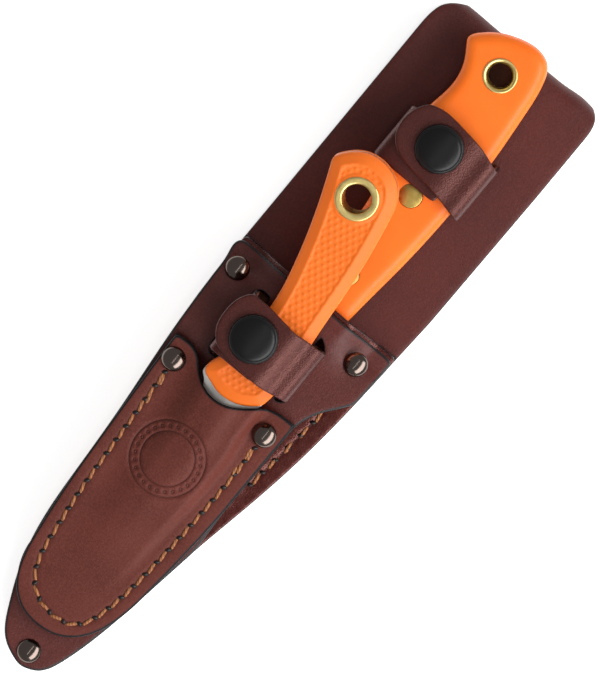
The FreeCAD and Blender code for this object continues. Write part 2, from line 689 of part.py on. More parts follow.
def snap(name, cap, flange_w, tab_low):
    """Cap and socket on the tab; stud and flange on the band."""
    x, u = cap
    tab_high = tab_low + STRAP
    stud = primitive("Cylinder", f"{name}_button", {"Radius": "Sizes.stud_radius"},
                     Placement(Vector(x, u, flange_w), Rotation()))
    stud.Height = tab_high - flange_w - 0.3
    flange = primitive("Cylinder", f"{name}_flange", {"Radius": "Sizes.socket_radius"},
                       Placement(Vector(x, u, flange_w), Rotation()))
    flange.Height = size("flange_gap") - 0.25
    post = primitive("Cylinder", f"{name}_post", {"Radius": "Sizes.post_radius"},
                     Placement(Vector(x, u, flange_w - STRAP), Rotation()))
    post.Height = STRAP
    head = primitive("Cylinder", f"{name}_head", {"Radius": "Sizes.socket_radius"},
                     Placement(Vector(x, u, flange_w - STRAP - 0.45), Rotation()))
    head.Height = 0.45
    keep(joined("MultiFuse", f"{name}_stud", [stud, flange, post, head], SHEATH), f"{name}_stud")
    shell = primitive("Cylinder", f"{name}_socket_shell", {"Radius": "Sizes.socket_radius"},
                      Placement(Vector(x, u, tab_low), Rotation()))
    shell.Height = STRAP
    bore = primitive("Cylinder", f"{name}_socket_bore", {"Radius": "Sizes.socket_bore"},
                     Placement(Vector(x, u, tab_low - 1), Rotation()))
    bore.Height = STRAP + 2
    keep(joined("Cut", f"{name}_socket", [shell, bore], SHEATH), f"{name}_socket")
    crown = dome(f"{name}_crown", "cap_radius", "cap_height",
                 Placement(Vector(x, u, tab_high + SEAT), Rotation()))
    keep(joined("Compound", f"{name}_cap", [crown], SHEATH), f"{name}_cap")


def strap(name, cap, side_left, side_right, floor_w, roof_w, stud_x, ends, outline):
    """One strap: side_left and side_right are its outer faces, roof_w the stud layer's middle."""
    half = STRAP / 2
    left = side_left + half
    right = side_right - half
    hinge_w = roof_w + half + size("flange_gap") + half
    bend = 2.0
    line = [(stud_x, roof_w), (left + bend, roof_w), (left, roof_w - bend), (left, floor_w + bend),
            (left + bend, floor_w), (right - bend, floor_w), (right, floor_w + bend),
            (right, hinge_w - half - size("knuckle_play"))]
    strap_band(f"{name}_strap_band", line, ends, cap, roof_w + half)
    strap_tab(f"{name}_strap_tab", outline(right), cap, hinge_w - half)
    snap(f"{name}_snap", cap, roof_w + half, hinge_w - half)
    return right, hinge_w


def upper_tab(right):
    return [[(right, 38.7), (right, 58.6)],
            [(right, 58.6), (12, 60.8), (-1, 63), (-8, 63.3), (-12.9, 62)],
            [(-12.9, 62), (-15.6, 57.5), (-16.3, 52.8), (-15, 47.6), (-11, 44), (-4, 42.3)],
            [(-4, 42.3), (7.5, 40.8), (right, 38.7)]]


def lower_tab(right):
    return [[(right, -39), (right, -19.5)],
            [(right, -19.5), (6.5, -19.6), (0, -19.9), (-8, -18.9), (-17.7, -18.6)],
            [(-17.7, -18.6), (-20.2, -23), (-20.85, -29), (-19.6, -34.5), (-16, -38.6)],
            [(-16, -38.6), (-6, -40), (4, -40.2), (right, -39)]]


upper_floor = -(LARGE_HALF + size("handle_play") + STRAP / 2)
upper_roof = LARGE_HALF + size("strap_play") + STRAP / 2
upper_hinge = strap("upper", UPPER_CAP, -15 - STRAP, 15.7 + STRAP, upper_floor, upper_roof, 8.0,
                    (38.6, 61.4), upper_tab)
lower_floor = BLADE_ROOF + LEATHER + 1.5 * SEAT + STRAP / 2
lower_roof = small_plane(LOWER_STRAP[1]) + SMALL_HALF + size("strap_play") + STRAP / 2
lower_hinge = strap("lower", LOWER_CAP, STRAP_SIDES[0], STRAP_SIDES[1], lower_floor, lower_roof, 0.0,
                    LOWER_STRAP, lower_tab)

# the upper strap is riveted to the back panel under the handle
anchor = primitive("Cylinder", "strap_anchor_disc", {"Radius": "Sizes.socket_radius"},
                   Placement(Vector(0, 50, DIP + 0.02), Rotation()))
anchor.Height = 2 * SEAT - 0.04
keep(joined("Compound", "strap_anchor", [anchor], SHEATH), "strap_anchor")

# ---------------------------------------------------------------- check and write
doc.recompute()
os.makedirs("parts", exist_ok=True)
faults = [item.Name for item in doc.Objects if {"Invalid", "Error"} & set(item.State)]
for node in nodes:
    if node.Shape.isNull() or not node.Shape.isValid() or not node.Shape.Solids:
        faults.append(node.Label)
if faults:
    raise RuntimeError("failed: " + ", ".join(faults))
for node in nodes:
    node.Shape.exportStep(os.path.join("parts", node.Label + ".step"))
    print(node.Label, len(node.Shape.Solids), round(node.Shape.Volume), node.Shape.BoundBox)

# places that the record states
along = SHEATH.Rotation.multVec(Vector(0, 1, 0))
lean = math.radians(SMALL_TURN - 2)
belt_low, belt_high = 50.0, 86.0
facts = {
    "large_axis": along,
    "small_axis": SMALL.Rotation.multVec(Vector(math.sin(lean), math.cos(lean), 0)),
    "upper_hinge": SHEATH.multVec(Vector(upper_hinge[0], 50, upper_hinge[1])),
    "lower_hinge": SHEATH.multVec(Vector(lower_hinge[0], -30, lower_hinge[1])),
    "large_tube": SHEATH.multVec(Vector(*LARGE_RING, 0)),
    "large_tube_axis": SHEATH.Rotation.multVec(Vector(0, 0, 1)),
    "small_tube": SMALL.multVec(Vector(*SMALL_RING, 0)),
    "small_tube_axis": SMALL.Rotation.multVec(Vector(0, 0, 1)),
    "belt_roof": SHEATH.multVec(Vector(0, belt_low, DIP - LEATHER)),
}
for name, vector in facts.items():
    print("fact", name, round(vector.x, 5), round(vector.y, 5), round(vector.z, 5))
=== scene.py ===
"""A leather combination sheath with its two fixed-blade knives, laid on a table.

The sheath is made up from the back, hide by hide, and each knife comes where it lies in the
stack. Sizes are millimetres in the sheath's own frame, x across it, u along it and w up
through its layers, and lay() turns them into the row frame in metres.
"""
import math

import bmesh
import bpy
import numpy as np
from mathutils import Matrix, Vector
from mathutils.geometry import delaunay_2d_cdt
from mathutils.kdtree import KDTree


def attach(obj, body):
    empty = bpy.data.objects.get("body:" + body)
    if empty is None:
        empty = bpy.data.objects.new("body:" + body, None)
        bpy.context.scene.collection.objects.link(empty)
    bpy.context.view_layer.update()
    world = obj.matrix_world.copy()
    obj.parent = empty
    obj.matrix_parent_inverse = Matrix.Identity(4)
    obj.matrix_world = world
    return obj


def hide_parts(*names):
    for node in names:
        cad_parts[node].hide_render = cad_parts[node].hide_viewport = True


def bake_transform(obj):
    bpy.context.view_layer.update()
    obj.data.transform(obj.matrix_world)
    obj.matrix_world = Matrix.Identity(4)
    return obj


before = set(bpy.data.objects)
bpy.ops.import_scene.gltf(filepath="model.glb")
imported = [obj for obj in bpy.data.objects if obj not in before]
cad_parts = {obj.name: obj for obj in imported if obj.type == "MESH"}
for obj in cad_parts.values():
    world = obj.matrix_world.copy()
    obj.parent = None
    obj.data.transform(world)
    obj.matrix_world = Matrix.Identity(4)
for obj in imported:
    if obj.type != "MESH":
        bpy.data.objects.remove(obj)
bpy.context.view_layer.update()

# ---- Back panel and belt flap ---------------------------------------------------------------
# One long piece of vegetable-tanned cowhide. It runs up behind both knives, folds over at the
# top and comes back down as the belt flap, whose end is riveted under the panel.
LEATHER = 2.2
FACE_ROUND, FLESH_ROUND = (0.8, 0.7), (0.5, 0.35)   # how far in and how deep its edges are worn
BED, DIP = -1.75, -9.25         # the panel's upper face under the blade and under the handle
RAMP = (-26, 6)                 # between which it drops from the one to the other
PITCH = math.atan(14.7 / 214.5)
RISE = 3.95 * math.cos(PITCH) + 158.5 * math.sin(PITCH)
FOLD_U = 87.0                   # where the panel starts to turn over

LEFT_FLANK = [(-31.4, -22), (-29.9, -47), (-27.3, -72.5), (-25.4, -97.5), (-23.2, -120),
              (-19.5, -134.2), (-14.6, -145.4), (-8.3, -154.8), (0.3, -158.5)]
RIGHT_FLANK = [(0.3, -158.5), (6.3, -156), (10.3, -148.8), (12.9, -139.5), (15.4, -127),
               (17.6, -112.5), (20.2, -95)]
RIGHT_UPPER = [(23.8, -75.3), (27.1, -54.5), (29.3, -32), (30.4, -13)]
BACK_RIGHT = [RIGHT_FLANK + RIGHT_UPPER, [(30.4, -13), (31.5, 7.5)], [(31.5, 7.5), (32.1, 60)],
              [(32.1, 60), (32.1, 82)],
              [(32.1, 82), (31.9, 87.5), (30.6, 91.2), (27.5, 93), (22, 93.9)]]
BACK_LEFT = [list(reversed(LEFT_FLANK)), [(-31.4, -22), (-31.5, 78)],
             [(-31.5, 78), (-31.2, 84), (-30, 88), (-26.8, 91.3), (-19.5, 93.9)]]


def lay(x, u, w):
    """Row-frame point, in metres, of a place in the sheath's pitched frame."""
    return Vector((x, u * math.cos(PITCH) - w * math.sin(PITCH),
                   RISE + u * math.sin(PITCH) + w * math.cos(PITCH))) / 1000


def smooth(t):
    """0 to 1, easing in and out."""
    t = max(0.0, min(1.0, t))
    return t * t * (3 - 2 * t)


def between(at, points):
    """Straight-line value through (place, value) points in rising order."""
    return float(np.interp(at, [p[0] for p in points], [p[1] for p in points]))


def bend_through(points):
    """Dense points along the smooth curve through these, or the straight run of two."""
    p = np.array(points, float)
    along = np.concatenate([[0], np.cumsum(np.hypot(*np.diff(p, axis=0).T))])
    gap, n = np.diff(along), len(p)
    table, right_side = np.eye(n), np.zeros((n, p.shape[1]))
    for i in range(1, n - 1):
        table[i, i - 1:i + 2] = gap[i - 1], 2 * (gap[i - 1] + gap[i]), gap[i]
        right_side[i] = 6 * ((p[i + 1] - p[i]) / gap[i] - (p[i] - p[i - 1]) / gap[i - 1])
    m = np.linalg.solve(table, right_side)
    t = np.linspace(0, along[-1], max(2, int(along[-1] / 0.15)))
    k = np.clip(np.searchsorted(along, t, side="right") - 1, 0, n - 2)
    past, left, h = (t - along[k])[:, None], (along[k + 1] - t)[:, None], gap[k][:, None]
    return ((m[k] * left ** 3 + m[k + 1] * past ** 3) / (6 * h)
            + (p[k] / h - m[k] * h / 6) * left + (p[k + 1] / h - m[k + 1] * h / 6) * past)


def reach_along(points):
    """Distance along a line of each of its points."""
    return np.concatenate([[0], np.cumsum(np.linalg.norm(np.diff(points, axis=0), axis=1))])


def even_points(dense, step, closed=False):
    """Points spaced evenly, about step apart, along a dense line."""
    if closed:
        dense = np.vstack([dense, dense[:1]])
    along = reach_along(dense)
    count = max(2, round(along[-1] / step))
    at = np.linspace(0, along[-1], count, endpoint=False) if closed else np.linspace(
        0, along[-1], count + 1)
    return np.stack([np.interp(at, along, dense[:, i]) for i in range(dense.shape[1])], axis=1)


def rim_of(strokes, step=0.8, worn=5):
    """A closed outline of even points through its strokes, its corners rubbed round."""
    dense = np.vstack([bend_through(stroke)[:-1] for stroke in strokes])
    rim = even_points(dense, step, closed=True)
    for _ in range(worn):
        rim = (np.roll(rim, 1, 0) + 2 * rim + np.roll(rim, -1, 0)) / 4
    return rim


def circle(centre, radius, step=0.6):
    """Even points round a circle."""
    turns = np.linspace(0, 2 * math.pi, max(16, int(2 * math.pi * radius / step)), endpoint=False)
    return np.stack([centre[0] + radius * np.cos(turns), centre[1] + radius * np.sin(turns)], 1)


def inside(points, loops):
    """Which points lie inside the loops, counting holes as outside."""
    odd = np.zeros(len(points), bool)
    for loop in loops:
        for (x0, y0), (x1, y1) in zip(loop, np.roll(loop, -1, 0)):
            if y0 != y1:
                spans = (y0 > points[:, 1]) != (y1 > points[:, 1])
                odd ^= spans & (points[:, 0] < (x1 - x0) * (points[:, 1] - y0) / (y1 - y0) + x0)
    return odd


def tree_of(points):
    """A search tree of flat points."""
    kd = KDTree(len(points))
    for i, (x, y) in enumerate(points):
        kd.insert((x, y, 0), i)
    kd.balance()
    return kd


def rolled(inset, width, depth):
    """How far a rounded edge falls below the face, this far in from the rim."""
    share = max(0.0, 1 - inset / width)
    return depth * (1 - math.sqrt(1 - share * share))


def sideways(line, closed=True):
    """Unit vectors square to a line at each of its points, to its left."""
    ahead = np.roll(line, -1, 0) - np.roll(line, 1, 0) if closed else np.gradient(line, axis=0)
    return np.stack([-ahead[:, 1], ahead[:, 0]], 1) / np.linalg.norm(ahead, axis=1)[:, None]


def cut_from_sheet(name, rims, place, material, pitch=1.1,
                   rows=(0, 0.12, 0.35, 0.8), pressed=(), inked=1.0):
    """A closed piece cut to its outline from flat stock, and formed.

    rims are its outline and then its holes. place(x, y, side, inset) gives the point on the
    upper (1) or lower (-1) face, or in the middle of the edge (0); rows are the insets of the
    loops that follow each rim, and pressed lines are (points, closed, half width, depth).
    inked is how far in from the rim, in millimetres, the edge dressing reaches.
    """
    clear = 0.3                     # kept free between a rim and a pressed line
    row_height, room = 0.866, 0.55  # of the grid's triangles, and round its points, per pitch
    hole_ink, groove_darkening = 0.4, 0.3   # share of the edge dressing that hole rims take, and how dark a pressed line turns at its deepest
    groove = ((-1, 0), (-0.55, 0.6), (0, 1), (0.55, 0.6), (1, 0))   # a pressed line's section
    loops, flat, ink, dip = [], [], [], []
    for k, rim in enumerate(rims):
        x, y = rim.T
        if (np.sum(x * np.roll(y, -1) - y * np.roll(x, -1)) > 0) != (k == 0):
            rim = rim[::-1]
        inward, loop = sideways(rim), []
        for inset in rows:
            loop.append(np.arange(len(rim)) + len(flat))
            flat += list(rim + inward * inset)
            ink += [max(0.0, 1 - inset / (hole_ink * inked if k else inked))] * len(rim)
            dip += [0.0] * len(rim)
        loops.append(loop)
    flat_array = np.array(flat)
    inner = [flat_array[loop[-1]] for loop in loops]
    rim_points = tree_of(flat_array[loops[0][0]])
    fence = tree_of(np.vstack(inner))
    for line, closed, half, depth in pressed:
        across = sideways(line, closed)
        for share, fall in groove:
            spots = line + across * share * half
            keep = inside(spots, inner)
            spots = [s for s, good in zip(spots, keep)
                     if good and fence.find((*s, 0))[2] > clear]
            flat += spots
            dip += [fall * depth] * len(spots)
            # pressed lines darken towards their deepest middle, stored along with the edge ink
            ink += [groove_darkening * fall] * len(spots)
    guard = tree_of(flat)
    low, high = np.min(inner[0], axis=0), np.max(inner[0], axis=0)
    grid = []
    for j, y in enumerate(np.arange(low[1], high[1], pitch * row_height)):
        for x in np.arange(low[0] + (j % 2) * pitch / 2, high[0], pitch):
            grid.append((x, y))
    grid = np.array(grid)
    grid = [p for p in grid[inside(grid, inner)] if guard.find((*p, 0))[2] > room * pitch]
    flat += grid
    dip += [0.0] * len(grid)
    ink += [0.0] * len(grid)
    flat = np.array(flat)

    edge_ids = np.concatenate([loop[-1] for loop in loops])
    outer_rows = {int(i) for loop in loops for row in loop[:-1] for i in row}
    used = [int(i) for i in edge_ids] + [i for i in range(len(flat))
                                         if i not in outer_rows and i not in set(edge_ids)]
    local = {i: k for k, i in enumerate(used)}
    fixed = [(local[int(a)], local[int(b)]) for loop in loops
             for a, b in zip(loop[-1], np.roll(loop[-1], -1))]
    _, _, faces, source, _, _ = delaunay_2d_cdt([Vector(flat[i]) for i in used], fixed, [], 1,
                                                1e-5)
    triangles = np.array([[used[source[v][0]] for v in face] for face in faces])
    triangles = triangles[inside(flat[triangles].mean(1), inner)]

    count, points, faces = len(flat), [], []
    insets = [rim_points.find((*p, 0))[2] for p in flat]
    for row, inset in zip(loops[0], rows):
        for i in row:
            insets[i] = inset
    for side in (1, -1):
        for (x, y), inset, fall in zip(flat, insets, dip):
            spot = place(x, y, side, inset)
            if side > 0 and fall:
                spot += (place(x, y, -1, inset) - spot).normalized() * fall / 1000
            points.append(spot)
        shift = 0 if side > 0 else count
        faces += [[int(v) + shift for v in face] for face in triangles]
        for loop in loops:
            for a, b in zip(loop, loop[1:]):
                faces += [[int(i) + shift for i in quad]
                          for quad in zip(a, np.roll(a, -1), np.roll(b, -1), b)]
    for loop in loops:
        middle = np.arange(len(loop[0])) + len(points)
        points += [place(*flat[i], 0, 0) for i in loop[0]]
        for a, b in ((loop[0], middle), (middle, loop[0] + count)):
            faces += [[int(i) for i in quad] for quad in zip(a, np.roll(a, -1), np.roll(b, -1), b)]
    spare = len(points) - 2 * count
    piece = closed_mesh(name, points, faces, material)
    for label, values in (("ink", ink + ink + [1.0] * spare),
                          ("flesh", [0.0] * count + [1.0] * count + [0.5] * spare)):
        piece.data.attributes.new(label, "FLOAT", "POINT").data.foreach_set("value", values)
    return piece


def set_down(name, data):
    """An object of this mesh, lamp or camera, in the scene."""
    thing = bpy.data.objects.new(name, data)
    bpy.context.scene.collection.objects.link(thing)
    return thing


def closed_mesh(name, points, faces, material):
    """An object of these points and faces, shaded smooth, with its faces turned outwards."""
    mesh = bpy.data.meshes.new(name)
    mesh.from_pydata([tuple(p) for p in points], [], faces)
    work = bmesh.new()
    work.from_mesh(mesh)
    bmesh.ops.recalc_face_normals(work, faces=work.faces)
    work.to_mesh(mesh)
    work.free()
    mesh.shade_smooth()
    mesh.materials.append(material)
    return set_down(name, mesh)


def linear(colour):
    """Linear RGBA of an sRGB hex colour."""
    parts = [int(colour[i:i + 2], 16) / 255 for i in (1, 3, 5)]
    return [c / 12.92 if c <= 0.04045 else ((c + 0.055) / 1.055) ** 2.4 for c in parts] + [1]


def feed(tree, node, inputs):
    """Sets a node's inputs, each to a value or to another node's output."""
    for key, value in dict(inputs).items():
        if isinstance(value, bpy.types.NodeSocket):
            tree.links.new(value, node.inputs[key])
        else:
            node.inputs[key].default_value = value


def add(tree, kind, settings=(), inputs=()):
    """A node of this kind with its settings and inputs."""
    node = tree.nodes.new(kind)
    for name, value in dict(settings).items():
        setattr(node, name, value)
    feed(tree, node, inputs)
    return node


def noise(tree, where, scale, detail, **more):
    """Smooth noise with this many waves to the metre."""
    return add(tree, "ShaderNodeTexNoise", (),
               {"Vector": where, "Scale": scale, "Detail": detail, **more}).outputs["Fac"]


def remap(tree, value, low=0.0, high=1.0, to_low=0.0, to_high=1.0):
    """A value stretched from one span to another."""
    return add(tree, "ShaderNodeMapRange", (),
               {"Value": value, "From Min": low, "From Max": high, "To Min": to_low,
                "To Max": to_high}).outputs[0]


def tinted(tree, share, one, other):
    """The colour this share of the way from one to the other, each a hex or an output."""
    one, other = (linear(c) if isinstance(c, str) else c for c in (one, other))
    return add(tree, "ShaderNodeMix", {"data_type": "RGBA"},
               {0: share, 6: one, 7: other}).outputs[2]


def bumped(tree, height, strength, distance, **more):
    """Fine relief from a height, for a shader's normal."""
    return add(tree, "ShaderNodeBump", (), {"Strength": strength, "Distance": distance,
                                            "Height": height, **more}).outputs[0]


def painted(tree, name):
    """A value stored on the mesh's points."""
    return add(tree, "ShaderNodeAttribute", {"attribute_name": name}).outputs["Fac"]


def worked(tree, operation, *values):
    """The result of a sum."""
    return add(tree, "ShaderNodeMath", {"operation": operation}, enumerate(values)).outputs[0]


def blank_material(name):
    """A new material, its tree, its shader node and the piece's own coordinates."""
    material = bpy.data.materials.new(name)
    material.use_nodes = True
    tree = material.node_tree
    where = add(tree, "ShaderNodeTexCoord").outputs["Object"]
    return material, tree, tree.nodes["Principled BSDF"], where


def tanned_hide(name, face, deep, pale, gloss, sheen=0.32, sheen_tint="#ffffff"):
    """Vegetable-tanned cowhide, drum-dyed, waxed and lightly glazed.

    It gives a satin brown with fine pebbled pores and slow cloudy changes of tone. The cut
    edge is burnished with black dressing, and the flesh side is dull and fibrous.
    """
    material, tree, shader, where = blank_material(name)
    mottle = noise(tree, where, 1500, 3, Roughness=0.65)
    # pores stand about 0.5 mm apart on the real hide, drawn at 0.8 mm so that they show
    pore = add(tree, "ShaderNodeTexVoronoi", {"feature": "DISTANCE_TO_EDGE"},
               {"Vector": where, "Scale": 1250}).outputs["Distance"]
    crease = noise(tree, where, 150, 2, Distortion=1.4)
    dyed = tinted(tree, remap(tree, noise(tree, where, 45, 3), 0.35, 0.65), deep, face)
    worn = tinted(tree, remap(tree, mottle, 0.42, 0.7, 0, 0.4), dyed, pale)
    ragged = worked(tree, "MULTIPLY_ADD", mottle, 0.5, painted(tree, "ink"))
    dressed = tinted(tree, remap(tree, ragged, 0.4, 0.75), worn, "#17181b")
    raw = remap(tree, painted(tree, "flesh"), 0.6, 0.9)
    rough = remap(tree, mottle, 0, 1, gloss - 0.08, gloss + 0.1)
    dull = add(tree, "ShaderNodeMix", {"data_type": "FLOAT"}, {0: raw, 2: rough, 3: 0.85})
    grain = worked(tree, "ADD", remap(tree, pore, 0, 0.25, 0, 0.5), mottle)
    relief = worked(tree, "ADD", grain, crease)
    feed(tree, shader, {"Base Color": tinted(tree, raw, dressed, "#5d3a2c"),
                        "Roughness": dull.outputs[0],
                        "Normal": bumped(tree, relief, 0.5, 0.00014),
                        "Specular IOR Level": sheen, "Specular Tint": linear(sheen_tint)})
    return material


def table(u):
    """w of the table under the sheath."""
    return -(RISE + u * math.sin(PITCH)) / math.cos(PITCH)


def panel_top(u):
    """w of the upper face of the back panel."""
    return between(u, [(RAMP[0], BED), (RAMP[1], DIP)])


FOLD_R = (DIP - table(FOLD_U)) / 2
FLAP_FROM = 2 * FOLD_U + math.pi * FOLD_R       # s and u of a place on the flap add up to this
FLAP_END = -30
RIGHT_EDGE = np.vstack([bend_through(s) for s in BACK_RIGHT])
LEFT_EDGE = np.vstack([bend_through(s) for s in BACK_LEFT])


def back_place(x, s, side, inset):
    """The hide followed from the tip (s = u) round the fold and down the flap."""
    out = LEATHER - rolled(inset, *FACE_ROUND) if side > 0 else rolled(inset, *FLESH_ROUND)
    out = LEATHER / 2 if side == 0 else out
    turn = (s - FOLD_U) / FOLD_R
    if turn <= 0:
        return lay(x, s, panel_top(s) - LEATHER + out)
    if turn < math.pi:
        swell = 0.7 * math.exp(-((x - 23) / 5) ** 2) + 0.15 * math.exp(-((x + 20) / 5) ** 2)
        r = FOLD_R - LEATHER + out + swell * math.sin(turn)
        return lay(x, FOLD_U + r * math.sin(turn), DIP - FOLD_R + r * math.cos(turn))
    u = FLAP_FROM - s
    low = table(u)
    if u < -3:
        low = between(u, [(-14, panel_top(-14) - 2 * LEATHER), (-3, table(-3))])
    if u < -14:
        low = panel_top(u) - 2 * LEATHER
    return lay(x, u, low + LEATHER - out)


fold = [FOLD_U + FOLD_R * t for t in np.linspace(0, math.pi, 25)]
flap = [FLAP_FROM - u for u in np.linspace(FOLD_U, FLAP_END, 90)]
stations = [(u, u) for u in np.linspace(-158.4, FOLD_U, 240)]
stations += [(s, FOLD_U + FOLD_R * math.sin((s - FOLD_U) / FOLD_R)) for s in fold]
stations += [(s, FLAP_FROM - s) for s in flap]
right = [(np.interp(u, RIGHT_EDGE[:, 1], RIGHT_EDGE[:, 0]), s) for s, u in stations]
left = [(np.interp(u, LEFT_EDGE[:, 1], LEFT_EDGE[:, 0]), s) for s, u in stations]
end = [(x, FLAP_FROM - FLAP_END) for x in np.linspace(right[-1][0], left[-1][0], 60)[1:-1]]
back_rim = even_points(np.array(right + end + left[::-1]), 0.9, closed=True)
for _ in range(4):
    back_rim = (np.roll(back_rim, 1, 0) + 2 * back_rim + np.roll(back_rim, -1, 0)) / 4

back_leather = tanned_hide("oiled_back_hide", "#501d18", "#461915", "#68302a", 0.5)
back = cut_from_sheet("back_panel_and_flap", [back_rim], back_place, back_leather, pitch=1.5,
                      inked=0.3)
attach(back, "sheath")
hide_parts("back_panel")

# ---- Main welt ------------------------------------------------------------------------------
# A filler strip of stiff leather as thick as the large blade, cemented round the main pocket
# between back and front so that the edge can't cut the seam. Its edge is burnished black.


def dressed_edge(name, colour):
    """Cut leather edge, sanded, dressed with black wax ink and rubbed to a dull shine."""
    material, tree, shader, where = blank_material(name)
    fibre = noise(tree, where, 900, 3, Roughness=0.7)
    feed(tree, shader, {"Base Color": tinted(tree, remap(tree, fibre, 0.55, 0.8), colour,
                                             "#3a241f"),
                        "Normal": bumped(tree, fibre, 0.4, 0.0002), "Roughness": 0.48})
    return material


def finish_node(node, material):
    """Gives a CAD node that stays in view its material."""
    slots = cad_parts[node].data.materials
    slots.clear()
    slots.append(material)


edge_dressing = dressed_edge("black_edge_dressing", "#161618")
finish_node("main_welt", edge_dressing)

# ---- Large knife: blade ---------------------------------------------------------------------
# A drop-point hunting blade, stock removed from 3.2 mm stainless bar, with a full tang in the
# handle's outline. It is ground from mid-width to the edge and satin finished lengthwise.
LARGE_TANG = 3.2
LARGE_HANDLE = [
    [(-9, -13), (-10.1, -3), (-9.4, 8), (-8.2, 17), (-8.4, 25), (-10, 33), (-12, 42),
     (-13, 52), (-12.7, 61), (-11.4, 71), (-12.9, 78.5), (-16.4, 84.2)],
    [(-16.4, 84.2), (-17.2, 85.6), (-16.7, 87.2)],
    [(-16.7, 87.2), (-12, 91.7), (-4, 95.6), (3.5, 96.6), (8, 94.7), (10.5, 90), (12.5, 78),
     (14.1, 60), (14.3, 38), (13.4, 18), (12, 3), (10.6, -13)],
    [(10.6, -13), (-9, -13)]]
LARGE_EDGE = [(0.5, -136.5), (-4.5, -130), (-9.5, -117), (-12.5, -95), (-13.4, -70),
              (-12.6, -45), (-9.6, -25), (-8, -18.5)]
LARGE_BLADE = LARGE_HANDLE[:3] + [
    [(10.6, -13), (10.8, -40), (10.2, -75), (8.2, -105), (4.8, -124), (0.5, -136.5)],
    LARGE_EDGE, [(-8, -18.5), (-9, -13)]]


def ground_steel(name, tone):
    """Stainless tool steel, ground and satin finished along its length.

    It reads as a mid grey with fine lengthwise lines that stretch its highlights.
    """
    material, tree, shader, where = blank_material(name)
    # belt lines are hundredths of a millimetre apart, drawn at about 0.25 mm so that they show
    along = add(tree, "ShaderNodeMapping", (), {"Vector": where, "Scale": (4000, 60, 4000)})
    lines = noise(tree, along.outputs[0], 1, 2)
    feed(tree, shader, {"Base Color": linear(tone), "Metallic": 1,
                        "Roughness": remap(tree, lines, 0, 1, 0.3, 0.5),
                        "Normal": bumped(tree, lines, 0.15, 0.00003)})
    return material


def blade_place(edge, to_row, thick, grind):
    """Places a blade whose thickness falls to nothing over grind millimetres from its edge."""
    edge_points = tree_of(bend_through(edge))

    def place(x, y, side, inset):
        reach = edge_points.find((x, y, 0))[2]
        half = 0.12 + (thick / 2 - 0.12) * min(1.0, reach / grind)
        return to_row(x, y, side * (half - rolled(inset, 0.35, min(half, 0.3))))
    return place


steel = ground_steel("satin_stainless_steel", "#c9c7c2")
LARGE_RING = (-1.4, 82.8)
LARGE_PINS = [(1.0, 35.6), (1.4, 4.0)]
LARGE_BORE, PIN_BORE = 4.85, 3.95
large_holes = [circle(LARGE_RING, LARGE_BORE)] + [circle(spot, PIN_BORE) for spot in LARGE_PINS]
blade = cut_from_sheet("large_blade_ground", [rim_of(LARGE_BLADE, worn=2)] + large_holes,
                       blade_place(LARGE_EDGE, lay, LARGE_TANG, 13), steel, pitch=1.5,
                       rows=(0.1, 0.2, 0.38))
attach(blade, "large_knife")
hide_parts("large_blade")

# ---- Large knife: handle scales -------------------------------------------------------------
# Two slabs of moulded orange thermoplastic rubber over the tang, smooth, with their edges
# rolled well round and their fronts planed down to the blade. Brass pins hold them.
LARGE_SCALE = 5.2


def moulded_rubber(name, face, deep, gloss, speck):
    """Thermoplastic rubber, injection moulded in blaze orange.

    A saturated skin with a faint orange-peel texture, its specks this many millimetres apart,
    and a soft satin sheen.
    """
    material, tree, shader, where = blank_material(name)
    cloud = noise(tree, where, 60, 2)
    peel = noise(tree, where, 1000 / speck, 2)
    feed(tree, shader, {"Base Color": tinted(tree, cloud, deep, face),
                        "Roughness": remap(tree, peel, 0, 1, gloss - 0.05, gloss + 0.08),
                        "Normal": bumped(tree, peel, 0.2, 0.00006),
                        "Specular IOR Level": 0.35, "Subsurface Weight": 0.12,
                        "Subsurface Radius": (0.0015, 0.0006, 0.0003)})
    return material


def large_scale_place(word):
    """Places a slab with rolled edges on the tang, planed down at its front end."""
    def place(x, u, side, inset):
        full = LARGE_SCALE * between(u, [(-13, 0.4), (7, 1.0)])
        level = LARGE_TANG / 2
        if side > 0:
            level += full - rolled(inset, 4.2, 0.6 * full)
        if side == 0:
            level += 0.2 * full
        return lay(x, u, level if word == "front" else -level)
    return place


smooth_orange = moulded_rubber("blaze_orange_smooth_rubber", "#fb7c1e", "#f56a12", 0.4, 0.7)
for word in ("front", "back"):
    scale = cut_from_sheet(f"large_scale_{word}_moulded",
                           [rim_of(LARGE_HANDLE, worn=3)] + large_holes,
                           large_scale_place(word), smooth_orange, pitch=1.0,
                           rows=(0, 0.1, 0.3, 0.6, 1.0))
    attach(scale, "large_knife")
    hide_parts(f"large_scale_{word}")

# ---- Large knife: lanyard tube and pins -----------------------------------------------------
# A thick brass tube flared over both scales, and two brass pins turned off flush. They are
# lathe work: the tube's mouth is a rolled funnel, and the pins show fine turning rings.


def turned(name, profile, to_row, centre, material, steps=64):
    """A lathe-turned piece: profile is its (radius, height) line, closed if it meets no axis."""
    points, rings, radii = [], [], []
    for r, h in profile:
        spins = 1 if r == 0 else steps
        rings.append(range(len(points), len(points) + spins))
        for k in range(spins):
            a = 2 * math.pi * k / steps
            points.append(to_row(centre[0] + r * math.cos(a), centre[1] + r * math.sin(a), h))
            radii.append(r)
    pairs = list(zip(rings, rings[1:]))
    if profile[0][0] and profile[-1][0]:
        pairs.append((rings[-1], rings[0]))
    faces = []
    for a, b in pairs:
        for k in range(steps):
            quad = [a[k % len(a)], a[(k + 1) % len(a)], b[(k + 1) % len(b)], b[k % len(b)]]
            quad = list(dict.fromkeys(quad))
            if len(quad) > 2:
                faces.append(quad)
    piece = closed_mesh(name, points, faces, material)
    piece.data.attributes.new("turned", "FLOAT", "POINT").data.foreach_set("value", radii)
    return piece


def at_level(level, profile):
    """Part of a lathe profile whose heights are counted from this level."""
    return [(r, level + h) for r, h in profile]


